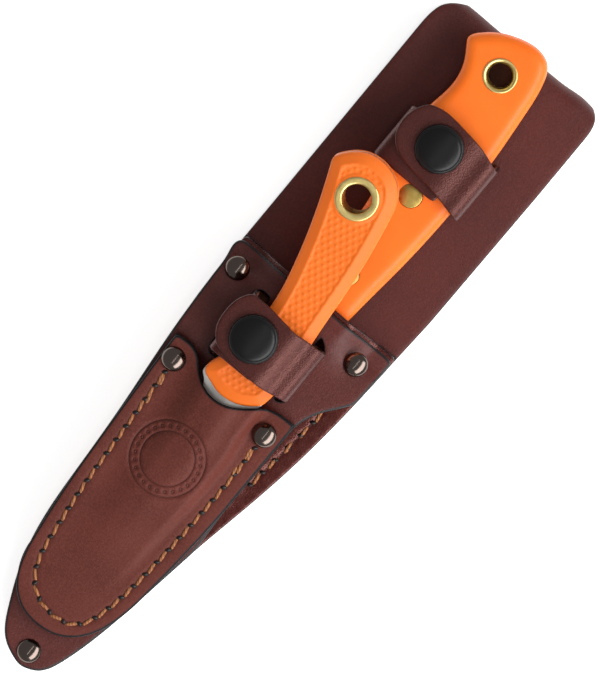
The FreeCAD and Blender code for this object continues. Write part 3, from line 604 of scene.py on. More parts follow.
def brass(name, tone, deep):
    """Free-cutting brass, turned and lightly polished.

    Pale yellow with concentric tool marks; here they are 0.35 mm apart so that they show.
    """
    material, tree, shader, where = blank_material(name)
    rings = worked(tree, "SINE", worked(tree, "MULTIPLY", painted(tree, "turned"),
                                        2 * math.pi / 0.35))
    smear = noise(tree, where, 500, 3)
    feed(tree, shader, {"Base Color": tinted(tree, smear, deep, tone), "Metallic": 1,
                        "Roughness": remap(tree, smear, 0, 1, 0.2, 0.45),
                        "Normal": bumped(tree, rings, 0.25, 0.00002)})
    return material


turned_brass = brass("turned_brass", "#f2df9a", "#d2b468")
dull_brass = brass("dulled_pin_brass", "#c8ad62", "#a88c48")
half = LARGE_TANG / 2 + LARGE_SCALE
flare = at_level(-half, [(4.0, 0.5), (4.6, -0.15), (5.2, -0.3), (5.6, -0.12), (5.6, 0), (4.8, 0)])
flare += at_level(half, [(4.8, 0), (5.6, 0), (5.6, 0.2), (5.4, 0.37), (5.1, 0.4), (4.75, 0.27),
                         (4.4, 0), (4.1, -0.5), (3.93, -1.2), (3.9, -2.2)])
flare += at_level(-half, [(3.9, 1.5)])
tube = turned("large_tube_flared", flare, lay, LARGE_RING, turned_brass)
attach(tube, "large_knife")
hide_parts("large_lanyard_tube")
pin_meshes = []
for spot, reach in zip(LARGE_PINS, (6.8, 6.332)):
    head = at_level(reach, [(0, 0.02), (0.5, 0.02), (3.6, 0), (3.82, -0.1), (3.9, -0.35)])
    pin_meshes.append(turned("pin", head + [(r, -h) for r, h in reversed(head)], lay, spot,
                             dull_brass))


def one_piece(name, pieces):
    """Joins finished pieces into one mesh object."""
    work = bmesh.new()
    for piece in pieces:
        work.from_mesh(piece.data)
    first = pieces[0].data.copy()
    work.to_mesh(first)
    work.free()
    for piece in pieces:
        bpy.data.objects.remove(piece)
    return set_down(name, first)


pins = one_piece("large_pins_turned", pin_meshes)
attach(pins, "large_knife")
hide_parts("large_pins")

# ---- Snap straps ----------------------------------------------------------------------------
# Two strips of thinner hide. Each runs under its handle, up both sides and over: the short end
# carries the snap's stud, and the long end comes down over it and carries socket and cap.
STRAP = 1.8
strap_leather = tanned_hide("glazed_strap_hide", "#34120f", "#2b0e0c", "#4b1f1b", 0.34,
                            0.65, "#ffb8b0")


def strip_path(line):
    """Even points along a strap's middle line, and how far along it each lies."""
    path = even_points(bend_through(line), 0.25)
    return path, reach_along(path)


def strap_piece(name, line, rim):
    """A strip of even thickness whose middle follows line, a run of (x, w) points.

    rim is its outline, as distance along the strip from the line's start and u.
    """
    path, along = strip_path(line)
    run = np.gradient(path, axis=0)
    run /= np.linalg.norm(run, axis=1)[:, None]

    def place(s, u, side, inset):
        x, w = (np.interp(s, along, path[:, i]) for i in (0, 1))
        dx, dw = (np.interp(s, along, run[:, i]) for i in (0, 1))
        out = side * (STRAP / 2 - rolled(inset, 0.7, 0.45))
        return lay(x + dw * out, u, w - dx * out)

    return cut_from_sheet(name, [rim], place, strap_leather, pitch=1.0, inked=0.05)


def make_strap(word, stud_line, tab_line, band_ends, tab_sides, tab_end):
    """Both pieces of a strap; returns the tab.

    band_ends gives u of the band's lower edge, of its upper edge, and of that edge round the
    left side. tab_sides are the tab's edges, and tab_end its end, as (x, u) points.
    """
    path, along = strip_path(stud_line)
    low, high, high_left = band_ends
    turn = along[int(np.argmin(path[:, 0]))]
    above, below, end = turn - 4, turn + 10, along[-1]      # the left side, and the far end
    rim = rim_of([[(0, low), (end, low)], [(end, low), (end, high)],
                  [(end, high), (below, high_left)], [(below, high_left), (above, high_left)],
                  [(above, high_left), (0, high)], [(0, high), (0, low)]])
    band = strap_piece(f"{word}_strap_band_hide", stud_line, rim)
    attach(band, "sheath")
    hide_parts(f"{word}_strap_band")

    path, along = strip_path(tab_line)
    start = int(np.argmax(path[:, 0]))

    def on_strip(points):
        """These (x, u) places of the tab as distance along the strip and u."""
        return [(float(np.interp(-x, -path[start:, 0], along[start:])), u) for x, u in points]

    lower, upper = (on_strip(side) for side in tab_sides)
    rim = rim_of([[(0, low), lower[0]], lower, on_strip(tab_end), upper, [upper[-1], (0, high)],
                  [(0, high), (0, low)]], worn=3)
    return strap_piece(f"{word}_strap_tab_hide", tab_line, rim)


upper_band_line = [(8, 8.6), (0, 8.6), (-12, 8.6), (-15.3, 7.7), (-15.9, 5), (-15.9, 0),
                   (-15.9, -5), (-15.3, -7.4), (-13, -8.05), (-5, -8.05), (5, -8.05), (12, -8.05)]
upper_tab_line = [(12, -8.05), (14.2, -7.95), (15.9, -7.1), (16.6, -5), (16.6, 0), (16.6, 5.5),
                  (16.2, 7.9), (14.6, 9.3), (12, 9.7), (9.5, 10.05), (7, 10.75), (4, 11.2),
                  (0, 11.2), (-8, 11.2), (-16.6, 11.2)]
upper_tab = make_strap(
    "upper", upper_band_line, upper_tab_line, (38.6, 60.2, 57.8),
    ([(16, 38.7), (7.5, 40.8), (-4, 42.3)], [(-12.9, 62), (-8, 63.3), (-1, 63), (12, 60.6),
                                             (16, 58.8)]),
    [(-4, 42.3), (-11, 44), (-15, 47.6), (-16.3, 52.8), (-15.6, 57.5), (-12.9, 62)])
lower_band_line = [(0, 23.13), (-6, 23.13), (-13, 23.13), (-16.2, 22.3), (-16.8, 19.5),
                   (-16.8, 14), (-16.8, 8.3), (-16.2, 5.9), (-14, 5.225), (-6, 5.225),
                   (2, 5.225), (7, 5.225)]
lower_tab_line = [(7, 5.225), (9.2, 5.3), (10.9, 6.2), (11.6, 8.3), (11.6, 14), (11.6, 18.5),
                  (11.2, 20.6), (9.8, 21.9), (7.6, 22.4), (5.6, 23.0), (3.4, 24.4), (0.8, 25.5),
                  (-2, 25.73), (-8, 25.73), (-21.2, 25.73)]
lower_tab = make_strap(
    "lower", lower_band_line, lower_tab_line, (-40.8, -19.9, -18.0),
    ([(11, -39), (4, -40.2), (-6, -40), (-16, -38.6)], [(-17.7, -18.6), (-8, -18.9),
                                                        (0, -19.9), (6.5, -19.6), (11, -19.5)]),
    [(-16, -38.6), (-19.6, -34.5), (-20.85, -29), (-20.2, -23), (-17.7, -18.6)])
for word, tab, start, finish in (("upper", upper_tab, (16.6, 7.2), (13.2, 10.4)),
                                 ("lower", lower_tab, (11.6, 20.2), (7.4, 24.2))):
    u = 50 if word == "upper" else -30
    lay(start[0], u, start[1])
    lay(finish[0], u, finish[1])
    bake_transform(tab)
    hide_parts(f"{word}_strap_tab")

# ---- Snap fasteners -------------------------------------------------------------------------
# Press studs of stamped steel: a black enamelled cap and a spring socket clenched through the
# tab, and a nickel stud clenched through the band.


def stamped_metal(name, tone, metallic, gloss, sheen=0.5):
    """Stamped steel, plated or enamelled; close scratches and a little waviness catch light."""
    material, tree, shader, where = blank_material(name)
    scratch = noise(tree, where, 700, 4, Roughness=0.65)
    fine = bumped(tree, scratch, 0.12, 0.00003)
    feed(tree, shader, {"Base Color": linear(tone), "Metallic": metallic,
                        "Specular IOR Level": sheen,
                        "Roughness": remap(tree, scratch, 0, 1, gloss - 0.07, gloss + 0.1),
                        "Normal": bumped(tree, noise(tree, where, 180, 1), 0.3, 0.0001,
                                         Normal=fine)})
    return material


black_enamel = stamped_metal("black_oxide_enamel", "#0d0c0d", 0.0, 0.3, 0.26)
nickel = stamped_metal("nickel_plate", "#b9b4ac", 1.0, 0.22)
for word, (x, u), flange, tab_low in (("upper", (-1.35, 53.0), 9.5, 10.3),
                                      ("lower", (-8.2, -29.6), 24.03, 24.83)):
    top = tab_low + STRAP
    base = top + 0.15
    dome = at_level(base, [(0, 2.9), (2, 2.85), (4.2, 2.62), (5.9, 2.2), (6.5, 1.98), (6.75, 1.8),
                           (6.95, 1.82), (7.25, 1.78), (7.55, 1.5), (7.8, 0.95), (7.9, 0.45),
                           (7.8, 0.1), (7.5, 0), (0, 0)])
    cap = turned(f"{word}_snap_cap_enamelled", dome, lay, (x, u), black_enamel)
    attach(cap, f"{word}_tab")
    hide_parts(f"{word}_snap_cap")
    shell = at_level(tab_low, [(2.3, 0.3), (2.5, 0.05), (3.2, 0), (3.8, 0.05), (4.0, 0.35)])
    shell += at_level(top, [(4.0, -0.1), (3.8, 0), (2.4, 0), (2.3, -0.2), (2.5, -0.7),
                            (2.3, -1.1)])
    socket = turned(f"{word}_snap_socket_spring", shell, lay, (x, u), nickel)
    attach(socket, f"{word}_tab")
    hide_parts(f"{word}_snap_socket")
    button = at_level(top - 0.3, [(0, 0), (0.9, 0), (1.5, -0.15), (1.85, -0.5), (1.85, -0.9),
                                  (1.6, -1.3)])
    button += at_level(flange, [(1.6, 0.75), (2.3, 0.55), (3.6, 0.5), (4.0, 0.3), (4.0, 0.02),
                                (1.5, 0)])
    button += at_level(flange - STRAP, [(1.5, 0), (3.9, 0), (3.9, -0.35), (3.5, -0.45),
                                        (0, -0.45)])
    stud = turned(f"{word}_snap_stud_pressed", button, lay, (x, u), nickel)
    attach(stud, "sheath")
    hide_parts(f"{word}_snap_stud")
finish_node("strap_anchor", nickel)

# ---- Main pocket front ----------------------------------------------------------------------
# The hide over the large blade, wet-formed to it and sewn through welt and back. On the right
# its margin shows as a narrow glazed strip, puckered by the lock stitches.
MOUTH_U = -7.5
SEAM = 6.5


def arch(x, lo, hi, left_share, right_share):
    """1 along the middle of a pocket, falling to 0 at its seams lo and hi."""
    across = (x - lo) / (hi - lo)
    return smooth(across / left_share) * smooth((1 - across) / right_share)


def front_under(x, u):
    """Underside of the main pocket's front."""
    edge = panel_top(u) + LARGE_TANG + 0.3
    roof = between(u, [(-20.5, 1.9), (-14.5, 4.13), (-1, 6.01)])
    rise = max(roof - edge, 0) * smooth((u + 146) / 18)
    lo = between(u, [(-150, -12), (-130, -21), (-105, -24.8), (-50, -29.6), (-16, -31.6)]) + SEAM
    hi = between(u, [(-152, 9), (-130, 14.8), (-100, 19.2), (-60, 26.3), (-10, 30.5)]) - SEAM
    return edge + rise * arch(x, lo, hi, 0.26, 0.26)


def hide_place(under, extra=None):
    """Places a hide of even thickness over the surface under(x, u)."""
    def place(x, u, side, inset):
        rise = LEATHER / 2
        if side > 0:
            rise = LEATHER - rolled(inset, *FACE_ROUND) + (extra(x, u) if extra else 0)
        if side < 0:
            rise = rolled(inset, *FLESH_ROUND)
        return lay(x, u, under(x, u) + rise)
    return place


FRONT_OUTLINE = [LEFT_FLANK, RIGHT_FLANK + RIGHT_UPPER, [(30.4, -13), (30.6, MOUTH_U)],
                 [(30.6, MOUTH_U), (-31.4, MOUTH_U)], [(-31.4, MOUTH_U), (-31.4, -22)]]
MAIN_SEAM = [(23.3, -34), (23, -40), (22.2, -49), (21, -60), (20.3, -67.5)]
PITCH_OF_STITCHES = 5.3


def front_puckers(x, u):
    """The margin drawn in between the stitches."""
    seam_x = between(-u, [(34, 23.3), (49, 22.2), (60, 21), (75, 19.4), (100, 16)])
    near = math.exp(-((x - seam_x - 1.6) / 1.9) ** 2) * smooth((-28 - u) / 8)
    return -0.42 * near * (0.5 + 0.5 * math.cos(2 * math.pi * (u + 34) / PITCH_OF_STITCHES))


front_leather = tanned_hide("glazed_front_hide", "#3d120e", "#2c0b08", "#5a241d", 0.24,
                            0.7, "#ffb8b0")
front = cut_from_sheet("main_pocket_front_hide", [rim_of(FRONT_OUTLINE)],
                       hide_place(front_under, front_puckers), front_leather, inked=0.6,
                       pressed=[(even_points(bend_through(MAIN_SEAM), 0.7), False, 1.0, 0.3)])
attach(front, "sheath")
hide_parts("main_pocket_front")

# ---- Carrier panel --------------------------------------------------------------------------
# The hide that carries the small knife. It is riveted over the main pocket at both upper
# corners and the tip, and slotted for the lower strap, which passes behind it.


def carrier_under(x, u):
    """Underside of the carrier, lifted where the lower strap runs behind it."""
    room = 2.1 * smooth((u + 50) / 7) * smooth((-13 - u) / 5.5)
    return front_under(x, u) + LEATHER + 0.225 + room


CARRIER_OUTLINE = [
    LEFT_FLANK, RIGHT_FLANK, [(20.2, -95), (19.4, -80)], [(19.4, -80), (19.5, -44)],
    [(19.5, -44), (21.6, -37.8), (25.5, -32), (29.6, -26.5)], [(29.6, -26.5), (30.3, -9)],
    [(30.3, -9), (-31.2, -9)], [(-31.2, -9), (-32.5, -11), (-32, -15), (-31.4, -22)]]
LEFT_SLOT = [[(-16.2, -17.0), (-18.0, -18.8)], [(-18.0, -18.8), (-18.0, -41.4)],
             [(-18.0, -41.4), (-16.4, -43.3)], [(-16.4, -43.3), (-13.5, -43)],
             [(-13.5, -43), (-12.4, -17.2)], [(-12.4, -17.2), (-16.2, -17.0)]]
RIGHT_SLOT = [[(7.6, -16.4), (9.6, -17.6), (12.2, -20.6)], [(12.2, -20.6), (12.1, -39.6)],
              [(12.1, -39.6), (10.8, -41.2)], [(10.8, -41.2), (8.4, -41.5)],
              [(8.4, -41.5), (7.6, -16.4)]]
carrier_leather = tanned_hide("waxed_carrier_hide", "#56231e", "#471b17", "#703830", 0.42)
carrier = cut_from_sheet("carrier_panel_hide",
                         [rim_of(CARRIER_OUTLINE), rim_of(LEFT_SLOT, 0.6, 3),
                          rim_of(RIGHT_SLOT, 0.6, 3)],
                         hide_place(carrier_under), carrier_leather, pitch=1.1)
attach(carrier, "sheath")
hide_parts("carrier_panel")

# ---- Small knife: blade ---------------------------------------------------------------------
# A short drop-point blade of 2.4 mm stainless bar with a full tang, satin finished like the
# large one. Its plain shank shows as a grey crescent below the grip.
SMALL_TANG = 2.4
SMALL_HANDLE = [
    [(-8, -0.9), (-3.5, -2.9), (1, -3.2), (6, -1.9), (10.6, 1.2)],
    [(10.6, 1.2), (12.2, 8), (12.9, 28), (13.2, 48), (12.6, 65), (11.6, 76)],
    [(11.6, 76), (9.2, 81.8), (5, 85.5), (0, 87.1), (-5.2, 86.8), (-10, 84.3), (-13.4, 80.9)],
    [(-13.4, 80.9), (-14, 79.9), (-13.5, 78.3)],
    [(-13.5, 78.3), (-9.2, 63), (-5.8, 46), (-4.4, 31), (-5.6, 19), (-8.5, 8.4), (-11, 3.4)],
    [(-11, 3.4), (-11, 1), (-8, -0.9)]]
SMALL_EDGE = [(-2, -72.5), (-6.4, -65), (-9.6, -52), (-10.8, -35), (-10.4, -15), (-8.6, -6),
              (-9.6, -2), (-11.6, 0)]
SMALL_BLADE = [
    [(10.6, 1.2), (9.6, -2)], [(9.6, -2), (8.7, -25), (6.3, -45), (2.6, -62), (-2, -72.5)],
    SMALL_EDGE, [(-11.6, 0), (-11, 3.4)], SMALL_HANDLE[4][::-1], SMALL_HANDLE[3][::-1],
    SMALL_HANDLE[2][::-1], SMALL_HANDLE[1][::-1]]
SMALL_SET = (Matrix.Rotation(math.radians(6.2), 3, "Z")
             @ Matrix.Rotation(math.atan(0.075548), 3, "X"))


def lay_small(x, y, z):
    """Row-frame point of a place in the small knife's own frame."""
    spot = SMALL_SET @ Vector((x, y, z))
    return lay(spot.x - 3.2, spot.y - 47.1, spot.z + 13.683)


SMALL_RING = (-0.3, 73.1)
SMALL_BORE = 5.55
small_blade = cut_from_sheet("small_blade_ground",
                             [rim_of(SMALL_BLADE, worn=2), circle(SMALL_RING, SMALL_BORE)],
                             blade_place(SMALL_EDGE[:6], lay_small, SMALL_TANG, 9), steel,
                             pitch=1.3, rows=(0.1, 0.2, 0.38))
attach(small_blade, "small_knife")
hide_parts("small_blade")

# ---- Small knife: handle scales -------------------------------------------------------------
# Moulded orange rubber again, but matt, with a plain bevelled border round a sunk panel of
# small raised pips that gives the grip.
SMALL_SCALE = 4.4
BORDER = 3.6                    # width of the bevelled border
PIP = 2.3                       # spacing of the pips in a row
PIP_ROW = 0.8 * PIP             # and of their rows
PIP_HIGH, PANEL_DEEP = 0.46, 0.4
RING_LAND = 7.5                 # radius left plain round the eyelet


def pips(x, y):
    """Rows of low rounded pips, set alternately."""
    row = round(y / PIP_ROW)
    nx = (x / PIP + 0.5 * (row % 2)) % 1 - 0.5
    ny = (y - row * PIP_ROW) / PIP
    return math.exp(-(nx * nx + ny * ny) / 0.03)


def small_scale_place(word):
    """Places a slab with a bevelled border and a sunk panel of pips on the tang."""
    def place(x, y, side, inset):
        full = SMALL_SCALE * between(y, [(-3.2, 0.4), (12.8, 1.0)])
        level = SMALL_TANG / 2
        if side > 0:
            bevel = 0.42 * full * max(0.0, 1 - inset / BORDER)
            level += full - bevel - rolled(inset, 0.9, 0.5)
            from_ring = math.hypot(x - SMALL_RING[0], y - SMALL_RING[1])
            panel = smooth((inset - BORDER) / 0.7) * smooth((from_ring - RING_LAND) / 0.8)
            level += panel * (PIP_HIGH * pips(x, y) - PANEL_DEEP)
        if side == 0:
            level += 0.25 * full
        return lay_small(x, y, level if word == "front" else -level)
    return place


pip_orange = moulded_rubber("blaze_orange_pip_rubber", "#f4781f", "#ec6b16", 0.5, 0.5)
for word in ("front", "back"):
    scale = cut_from_sheet(f"small_scale_{word}_moulded",
                           [rim_of(SMALL_HANDLE, worn=3), circle(SMALL_RING, SMALL_BORE)],
                           small_scale_place(word), pip_orange, pitch=0.48,
                           rows=(0, 0.15, 0.45, 0.9))
    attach(scale, "small_knife")
    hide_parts(f"small_scale_{word}")

# ---- Small knife: lanyard tube --------------------------------------------------------------
# A wide brass eyelet, turned, with a flat flange whose outer edge is chamfered. It is pressed
# through both scales and the tang.
half = SMALL_TANG / 2 + SMALL_SCALE
eyelet = at_level(-half, [(4.6, -0.1), (4.9, -0.3), (6.8, -0.3), (7.1, -0.1), (7.1, 0), (5.5, 0)])
eyelet += at_level(half, [(5.5, 0), (7.1, 0), (7.1, 0.12), (6.85, 0.36), (6.5, 0.4), (5.3, 0.4),
                          (4.95, 0.28), (4.65, -0.1), (4.6, -0.8)])
ring = turned("small_tube_flanged", eyelet, lay_small, SMALL_RING, turned_brass)
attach(ring, "small_knife")
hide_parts("small_lanyard_tube")

# ---- Small pocket ---------------------------------------------------------------------------
# The small knife's pocket front, formed over its blade and sewn to the carrier round a narrow
# welt. It carries a plain pressed double ring with dots between.


def small_plane(u):
    """w of the small knife's middle plane."""
    return 14.65 + (u + 34.3) * 0.075548


def pocket_formed(x, u, left_share, right_share, sink=0):
    """The small pocket's front, formed over the knife with slopes this wide."""
    edge = carrier_under(x, u) + LEATHER + SMALL_TANG + 0.6
    target = small_plane(u) + SMALL_TANG / 2 + 1.2 - sink
    lo = between(u, [(-138, -17.3), (-125, -22), (-107, -24.2), (-80, -26.3),
                     (-46, -28.25)]) + SEAM + 1.2
    hi = between(u, [(-136, 11.5), (-126, 15.5), (-112, 17.4), (-80, 19.3)]) - SEAM - 0.6
    hi -= 1.4 * smooth((u + 66) / 9)
    rise = max(target - edge, 0) * smooth((u + 136) / 12)
    return edge + rise * arch(x, lo, hi, left_share, right_share)


def pocket_under(x, u):
    """Underside of the small pocket's front."""
    return pocket_formed(x, u, 0.4, 0.14)


def pocket_face(x, u):
    """How far the outer face lies below an even thickness, where the hide is eased."""
    low = smooth((-62 - u) / 35)
    eased = pocket_formed(x, u, 0.6, 0.38 + 0.1 * low, 0.3 + 0.6 * low)
    return -1.5 * math.tanh((pocket_under(x, u) - eased) / 1.5)


POCKET_OUTLINE = [
    [(-28.3, -44.7), (-24, -44.3)],
    [(-24, -44.3), (-20.2, -44.9), (-15.5, -48.9), (-10.5, -52.1), (-5, -52.9), (0, -51.4),
     (5, -47.8), (8.7, -45.0), (13, -43.7)],
    [(13, -43.7), (19.3, -43.5)], [(19.3, -43.5), (19.3, -80)],
    [(19.3, -80), (18.6, -96), (17.4, -112), (15.4, -126.2), (11.5, -136), (5, -142.2),
     (-3.5, -144.3), (-12, -142.5), (-18.2, -136.5), (-22, -125)],
    [(-22, -125), (-24.4, -106), (-26.4, -80), (-28.3, -44.7)]]
SMALL_SEAM = [(-23.2, -56.5), (-22.2, -72), (-21.1, -88), (-20, -103), (-18.2, -117.5),
              (-16.3, -127.5), (-11.5, -135.3), (-2.7, -138.6), (5.8, -136.4), (10.4, -127),
              (12.2, -116.4), (13.5, -99.3), (14.15, -82.5), (14.3, -68), (14, -57)]
SEAL = (-5.25, -77)
seal_lines = [(circle(SEAL, radius), True, 0.38, 0.3) for radius in (12.3, 8.8)]
SEAL_DOTS = 26
for k in range(SEAL_DOTS):
    turn = 2 * math.pi * k / SEAL_DOTS
    spot = (SEAL[0] + 10.55 * math.cos(turn), SEAL[1] + 10.55 * math.sin(turn))
    seal_lines.append((circle(spot, 0.42), True, 0.34, 0.25))
pocket_leather = tanned_hide("waxed_pocket_hide", "#623029", "#582a23", "#7a4438", 0.52, 0.14)
pocket = cut_from_sheet("small_pocket_front_hide", [rim_of(POCKET_OUTLINE)],
                        hide_place(pocket_under, pocket_face), pocket_leather, pitch=1.1,
                        pressed=seal_lines + [(even_points(bend_through(SMALL_SEAM), 0.7), False,
                                               1.1, 0.35)])
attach(pocket, "sheath")
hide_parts("small_pocket_front")
finish_node("small_welt", edge_dressing)

# ---- Seams ----------------------------------------------------------------------------------
# Waxed tan linen thread, machine lock-stitched through awl holes. Each stitch lies aslant in
# a pressed groove, and near-black plugs between the stitches paint the shade inside the awl holes.


def waxed_thread(name, tone, deep):
    """Two-ply linen thread, waxed: a warm tan, with painted shade in the lay between the plies."""
    material, tree, shader, where = blank_material(name)
    ply = add(tree, "ShaderNodeTexWave", {"bands_direction": "DIAGONAL"},
              {"Vector": where, "Scale": 420, "Distortion": 1.5}).outputs["Fac"]
    # the deep colour is painted shade in the lay between the plies; the same bands give the relief
    feed(tree, shader, {"Base Color": tinted(tree, ply, deep, tone), "Roughness": 0.6,
                        "Normal": bumped(tree, ply, 0.5, 0.0001)})
    return material


def set_items(name, extra, lay_out):
    """Geometry Nodes tree that sets an item on points, turned as lay_out says."""
    tree = bpy.data.node_groups.new(name, "GeometryNodeTree")
    face = tree.interface
    face.new_socket("Base", in_out="INPUT", socket_type="NodeSocketGeometry")
    for label, kind in (("Item", "Object"), ("Up", "Vector"), ("Seed", "Int"),
                        ("Finish", "Material")) + extra:
        face.new_socket(label, in_out="INPUT", socket_type=f"NodeSocket{kind}")
    face.new_socket("Set", in_out="OUTPUT", socket_type="NodeSocketGeometry")
    given = add(tree, "NodeGroupInput").outputs
    spots, upright, angle = lay_out(tree, given)
    twist = add(tree, "ShaderNodeCombineXYZ", (), {"Z": angle})
    turn = add(tree, "FunctionNodeRotateRotation", {"rotation_space": "LOCAL"},
               {"Rotation": upright, "Rotate By": twist.outputs[0]})
    item = add(tree, "GeometryNodeObjectInfo", (), {"Object": given["Item"]})
    set_out = add(tree, "GeometryNodeInstanceOnPoints", (),
                  {"Points": spots, "Instance": item.outputs["Geometry"],
                   "Rotation": turn.outputs[0]})
    real = add(tree, "GeometryNodeRealizeInstances", (), {0: set_out.outputs[0]})
    done = add(tree, "GeometryNodeSetMaterial", (),
               {0: real.outputs[0], "Material": given["Finish"]})
    add(tree, "NodeGroupOutput", (), {0: done.outputs[0]})
    return tree


def along_line(tree, given):
    """A spot at every pitch, facing along the line and aslant to it, a little unevenly."""
    line = add(tree, "GeometryNodeMeshToCurve", (), {"Mesh": given["Base"]})
    length = add(tree, "GeometryNodeCurveLength", (), {"Curve": line.outputs[0]})
    end = worked(tree, "SUBTRACT", length.outputs[0], given["Start"])
    cut = add(tree, "GeometryNodeTrimCurve", {"mode": "LENGTH"},
              {0: line.outputs[0], 4: given["Start"], 5: end})
    spots = add(tree, "GeometryNodeCurveToPoints", {"mode": "LENGTH"},
                {0: cut.outputs[0], "Length": given["Pitch"]})
    ahead = add(tree, "FunctionNodeAlignRotationToVector", {"axis": "X"},
                {"Vector": spots.outputs["Tangent"]})
    upright = add(tree, "FunctionNodeAlignRotationToVector", {"axis": "Z", "pivot_axis": "X"},
                  {"Rotation": ahead.outputs[0], "Vector": given["Up"]})
    stray = add(tree, "FunctionNodeRandomValue", {"data_type": "FLOAT"},
                {2: -1.0, 3: 1.0, "Seed": given["Seed"]})
    lean = worked(tree, "MULTIPLY_ADD", stray.outputs[1], given["Wander"], given["Slant"])
    return spots.outputs[0], upright.outputs[0], lean


def grown(name, base, tree, **given):
    """The plain mesh object that the tree makes from base with these named inputs."""
    modifier = base.modifiers.new("grow", "NODES")
    modifier.node_group = tree
    for socket in tree.interface.items_tree:
        if socket.in_out == "INPUT" and socket.name in given:
            modifier[socket.identifier] = given[socket.name]
    bpy.context.view_layer.update()
    made = base.evaluated_get(bpy.context.evaluated_depsgraph_get())
    mesh = bpy.data.meshes.new_from_object(made)
    mesh.name = name
    mesh.shade_smooth()
    base.modifiers.clear()
    bpy.data.objects.remove(base)
    return set_down(name, mesh)


def loose_line(name, points):
    """A mesh of edges through these points."""
    mesh = bpy.data.meshes.new(name)
    mesh.from_pydata([tuple(p) for p in points], [(i, i + 1) for i in range(len(points) - 1)], [])
    return set_down(name, mesh)


def stitch_shape(length, wide, high):
    """One visible stitch: a short rope end to end, arched so that its ends dive."""
    points, faces, rings, sides = [], [], 7, 8
    squash, sunk = 0.8, 0.25        # of its section, and into the leather
    for k in range(rings):
        t = 2 * k / (rings - 1) - 1
        thick = wide / 2 * (1 - 0.25 * t ** 4)
        for j in range(sides):
            a = 2 * math.pi * j / sides
            up = thick * squash * math.sin(a) + high * (1 - t * t) - sunk
            points.append(Vector((t * length / 2, thick * math.cos(a), up)) / 1000)
    for k in range(rings - 1):
        for j in range(sides):
            a, b = k * sides + j, k * sides + (j + 1) % sides
            faces.append([a, b, b + sides, a + sides])
    faces += [list(range(sides)), list(range((rings - 1) * sides, rings * sides))]
    return closed_mesh("stitch", points, faces, None)


def hole_shade_shape(length, wide):
    """A near-black plug at one stitch opening: painted shade for the shadow inside it."""
    top, bottom, sides = 0.46, -0.4, 12
    turns = np.linspace(0, 2 * math.pi, sides, endpoint=False)
    points = [Vector((length / 2 * math.cos(a), wide / 2 * math.sin(a), z)) / 1000
              for z in (top, bottom) for a in turns]
    faces = [[k, (k + 1) % sides, sides + (k + 1) % sides, sides + k] for k in range(sides)]
    faces += [list(range(sides)), list(range(sides, 2 * sides))]
    return closed_mesh("hole", points, faces, None)


thread = waxed_thread("waxed_tan_linen_thread", "#a96a3c", "#7d4b29")
# near-black finish for the plugs at the stitch openings: painted shade, not a material of the
# sheath
hole_shade_finish = dressed_edge("painted_hole_shade", "#120c0b")
lay_up = lay(0, 0, 1) - lay(0, 0, 0)
along_seams = set_items("items_along_seam", (("Pitch", "Float"), ("Start", "Float"),
                                             ("Slant", "Float"), ("Wander", "Float")), along_line)
stitch, hole = stitch_shape(4.3, 1.2, 0.42), hole_shade_shape(2.0, 1.2)
STEP = 0.5                      # between the points of a seam's line
TWICE = 26                      # points at each end of the small seam that are sewn twice
ASIDE = 0.7                     # and how far beside the first thread the second one lies
for word, path, under, press in (("small", SMALL_SEAM, pocket_under, 0.35),
                                 ("main", MAIN_SEAM, front_under, 0.3)):
    spots = even_points(bend_through(path), STEP)
    on_top = [lay(x, u, under(x, u) + LEATHER - press) for x, u in spots]
    reach = sum((b - a).length for a, b in zip(on_top, on_top[1:]))
    pitch = reach / round(reach * 1000 / PITCH_OF_STITCHES)
    given = {"Pitch": pitch, "Up": tuple(lay_up), "Seed": 4}
    runs = [on_top]
    if word == "small":
        for part, aside in ((on_top[:TWICE], ASIDE), (on_top[-TWICE:], -ASIDE)):
            runs.append([spot + Vector((aside / 1000, 0, 0)) for spot in part])
    sewn = [grown("stitches", loose_line("seam", run), along_seams, Item=stitch,
                  Start=pitch / 2, Slant=math.radians(13), Wander=math.radians(3),
                  Finish=thread, **given) for run in runs]
    seam_piece = one_piece(f"{word}_seam_lockstitch", sewn)
    # dark plugs between the stitches: painted shade inside the awl openings
    hole_shade_piece = grown(f"{word}_seam_awl_holes", loose_line("seam", on_top), along_seams,
                       Item=hole, Start=0.0, Slant=math.radians(-52),
                       Wander=math.radians(8), Finish=hole_shade_finish, **given)
    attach(seam_piece, "sheath")
    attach(hole_shade_piece, "sheath")
    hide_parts(f"{word}_seam_thread")
for shape in (stitch, hole):
    bpy.data.objects.remove(shape)

# ---- Rivets ---------------------------------------------------------------------------------
# Double-cap steel rivets in dark nickel, set through the layers at the carrier's corners, the
# pocket's ears and the tip. The carrier's posts are peened over flat washers underneath.
CARRIER_RIVETS = [(-26.5, -16.9), (21.65, -16.5)]
EAR_RIVETS = [(-23.65, -51.6), (13.65, -51.9)]
TIP_RIVET = (-0.1, -152.9)
RIVET_R = 3.95
GAP = 0.15                      # between a rivet and the hide it is set on


def seat_on(spot, height):
    """Level of a cap's flat face: just over the highest point of the layer under it."""
    return GAP + max(height(spot[0] + r * math.cos(a), spot[1] + r * math.sin(a))
                     for r in (0.6 * RIVET_R, RIVET_R) for a in np.linspace(0, 2 * math.pi, 24))


def carrier_top(x, u):
    """Upper face of the carrier."""
    return carrier_under(x, u) + LEATHER


def pocket_top(x, u):
    """Upper face of the small pocket at its flat margin."""
    return pocket_under(x, u) + LEATHER


gunmetal = stamped_metal("dark_nickel_plate", "#685c56", 1.0, 0.14)
profile = [(0, 1.9), (0.9, 1.84), (1.8, 1.62), (2.6, 1.27), (3.2, 0.88), (3.65, 0.45),
           (3.9, 0.1), (RIVET_R, -0.1), (3.8, -0.3), (1.6, -0.3), (1.5, -0.5), (1.5, -3.0),
           (0, -3.0)]


def plain(x, y, z):
    """A place in an item's own upright frame, in metres."""
    return Vector((x, y, z)) / 1000


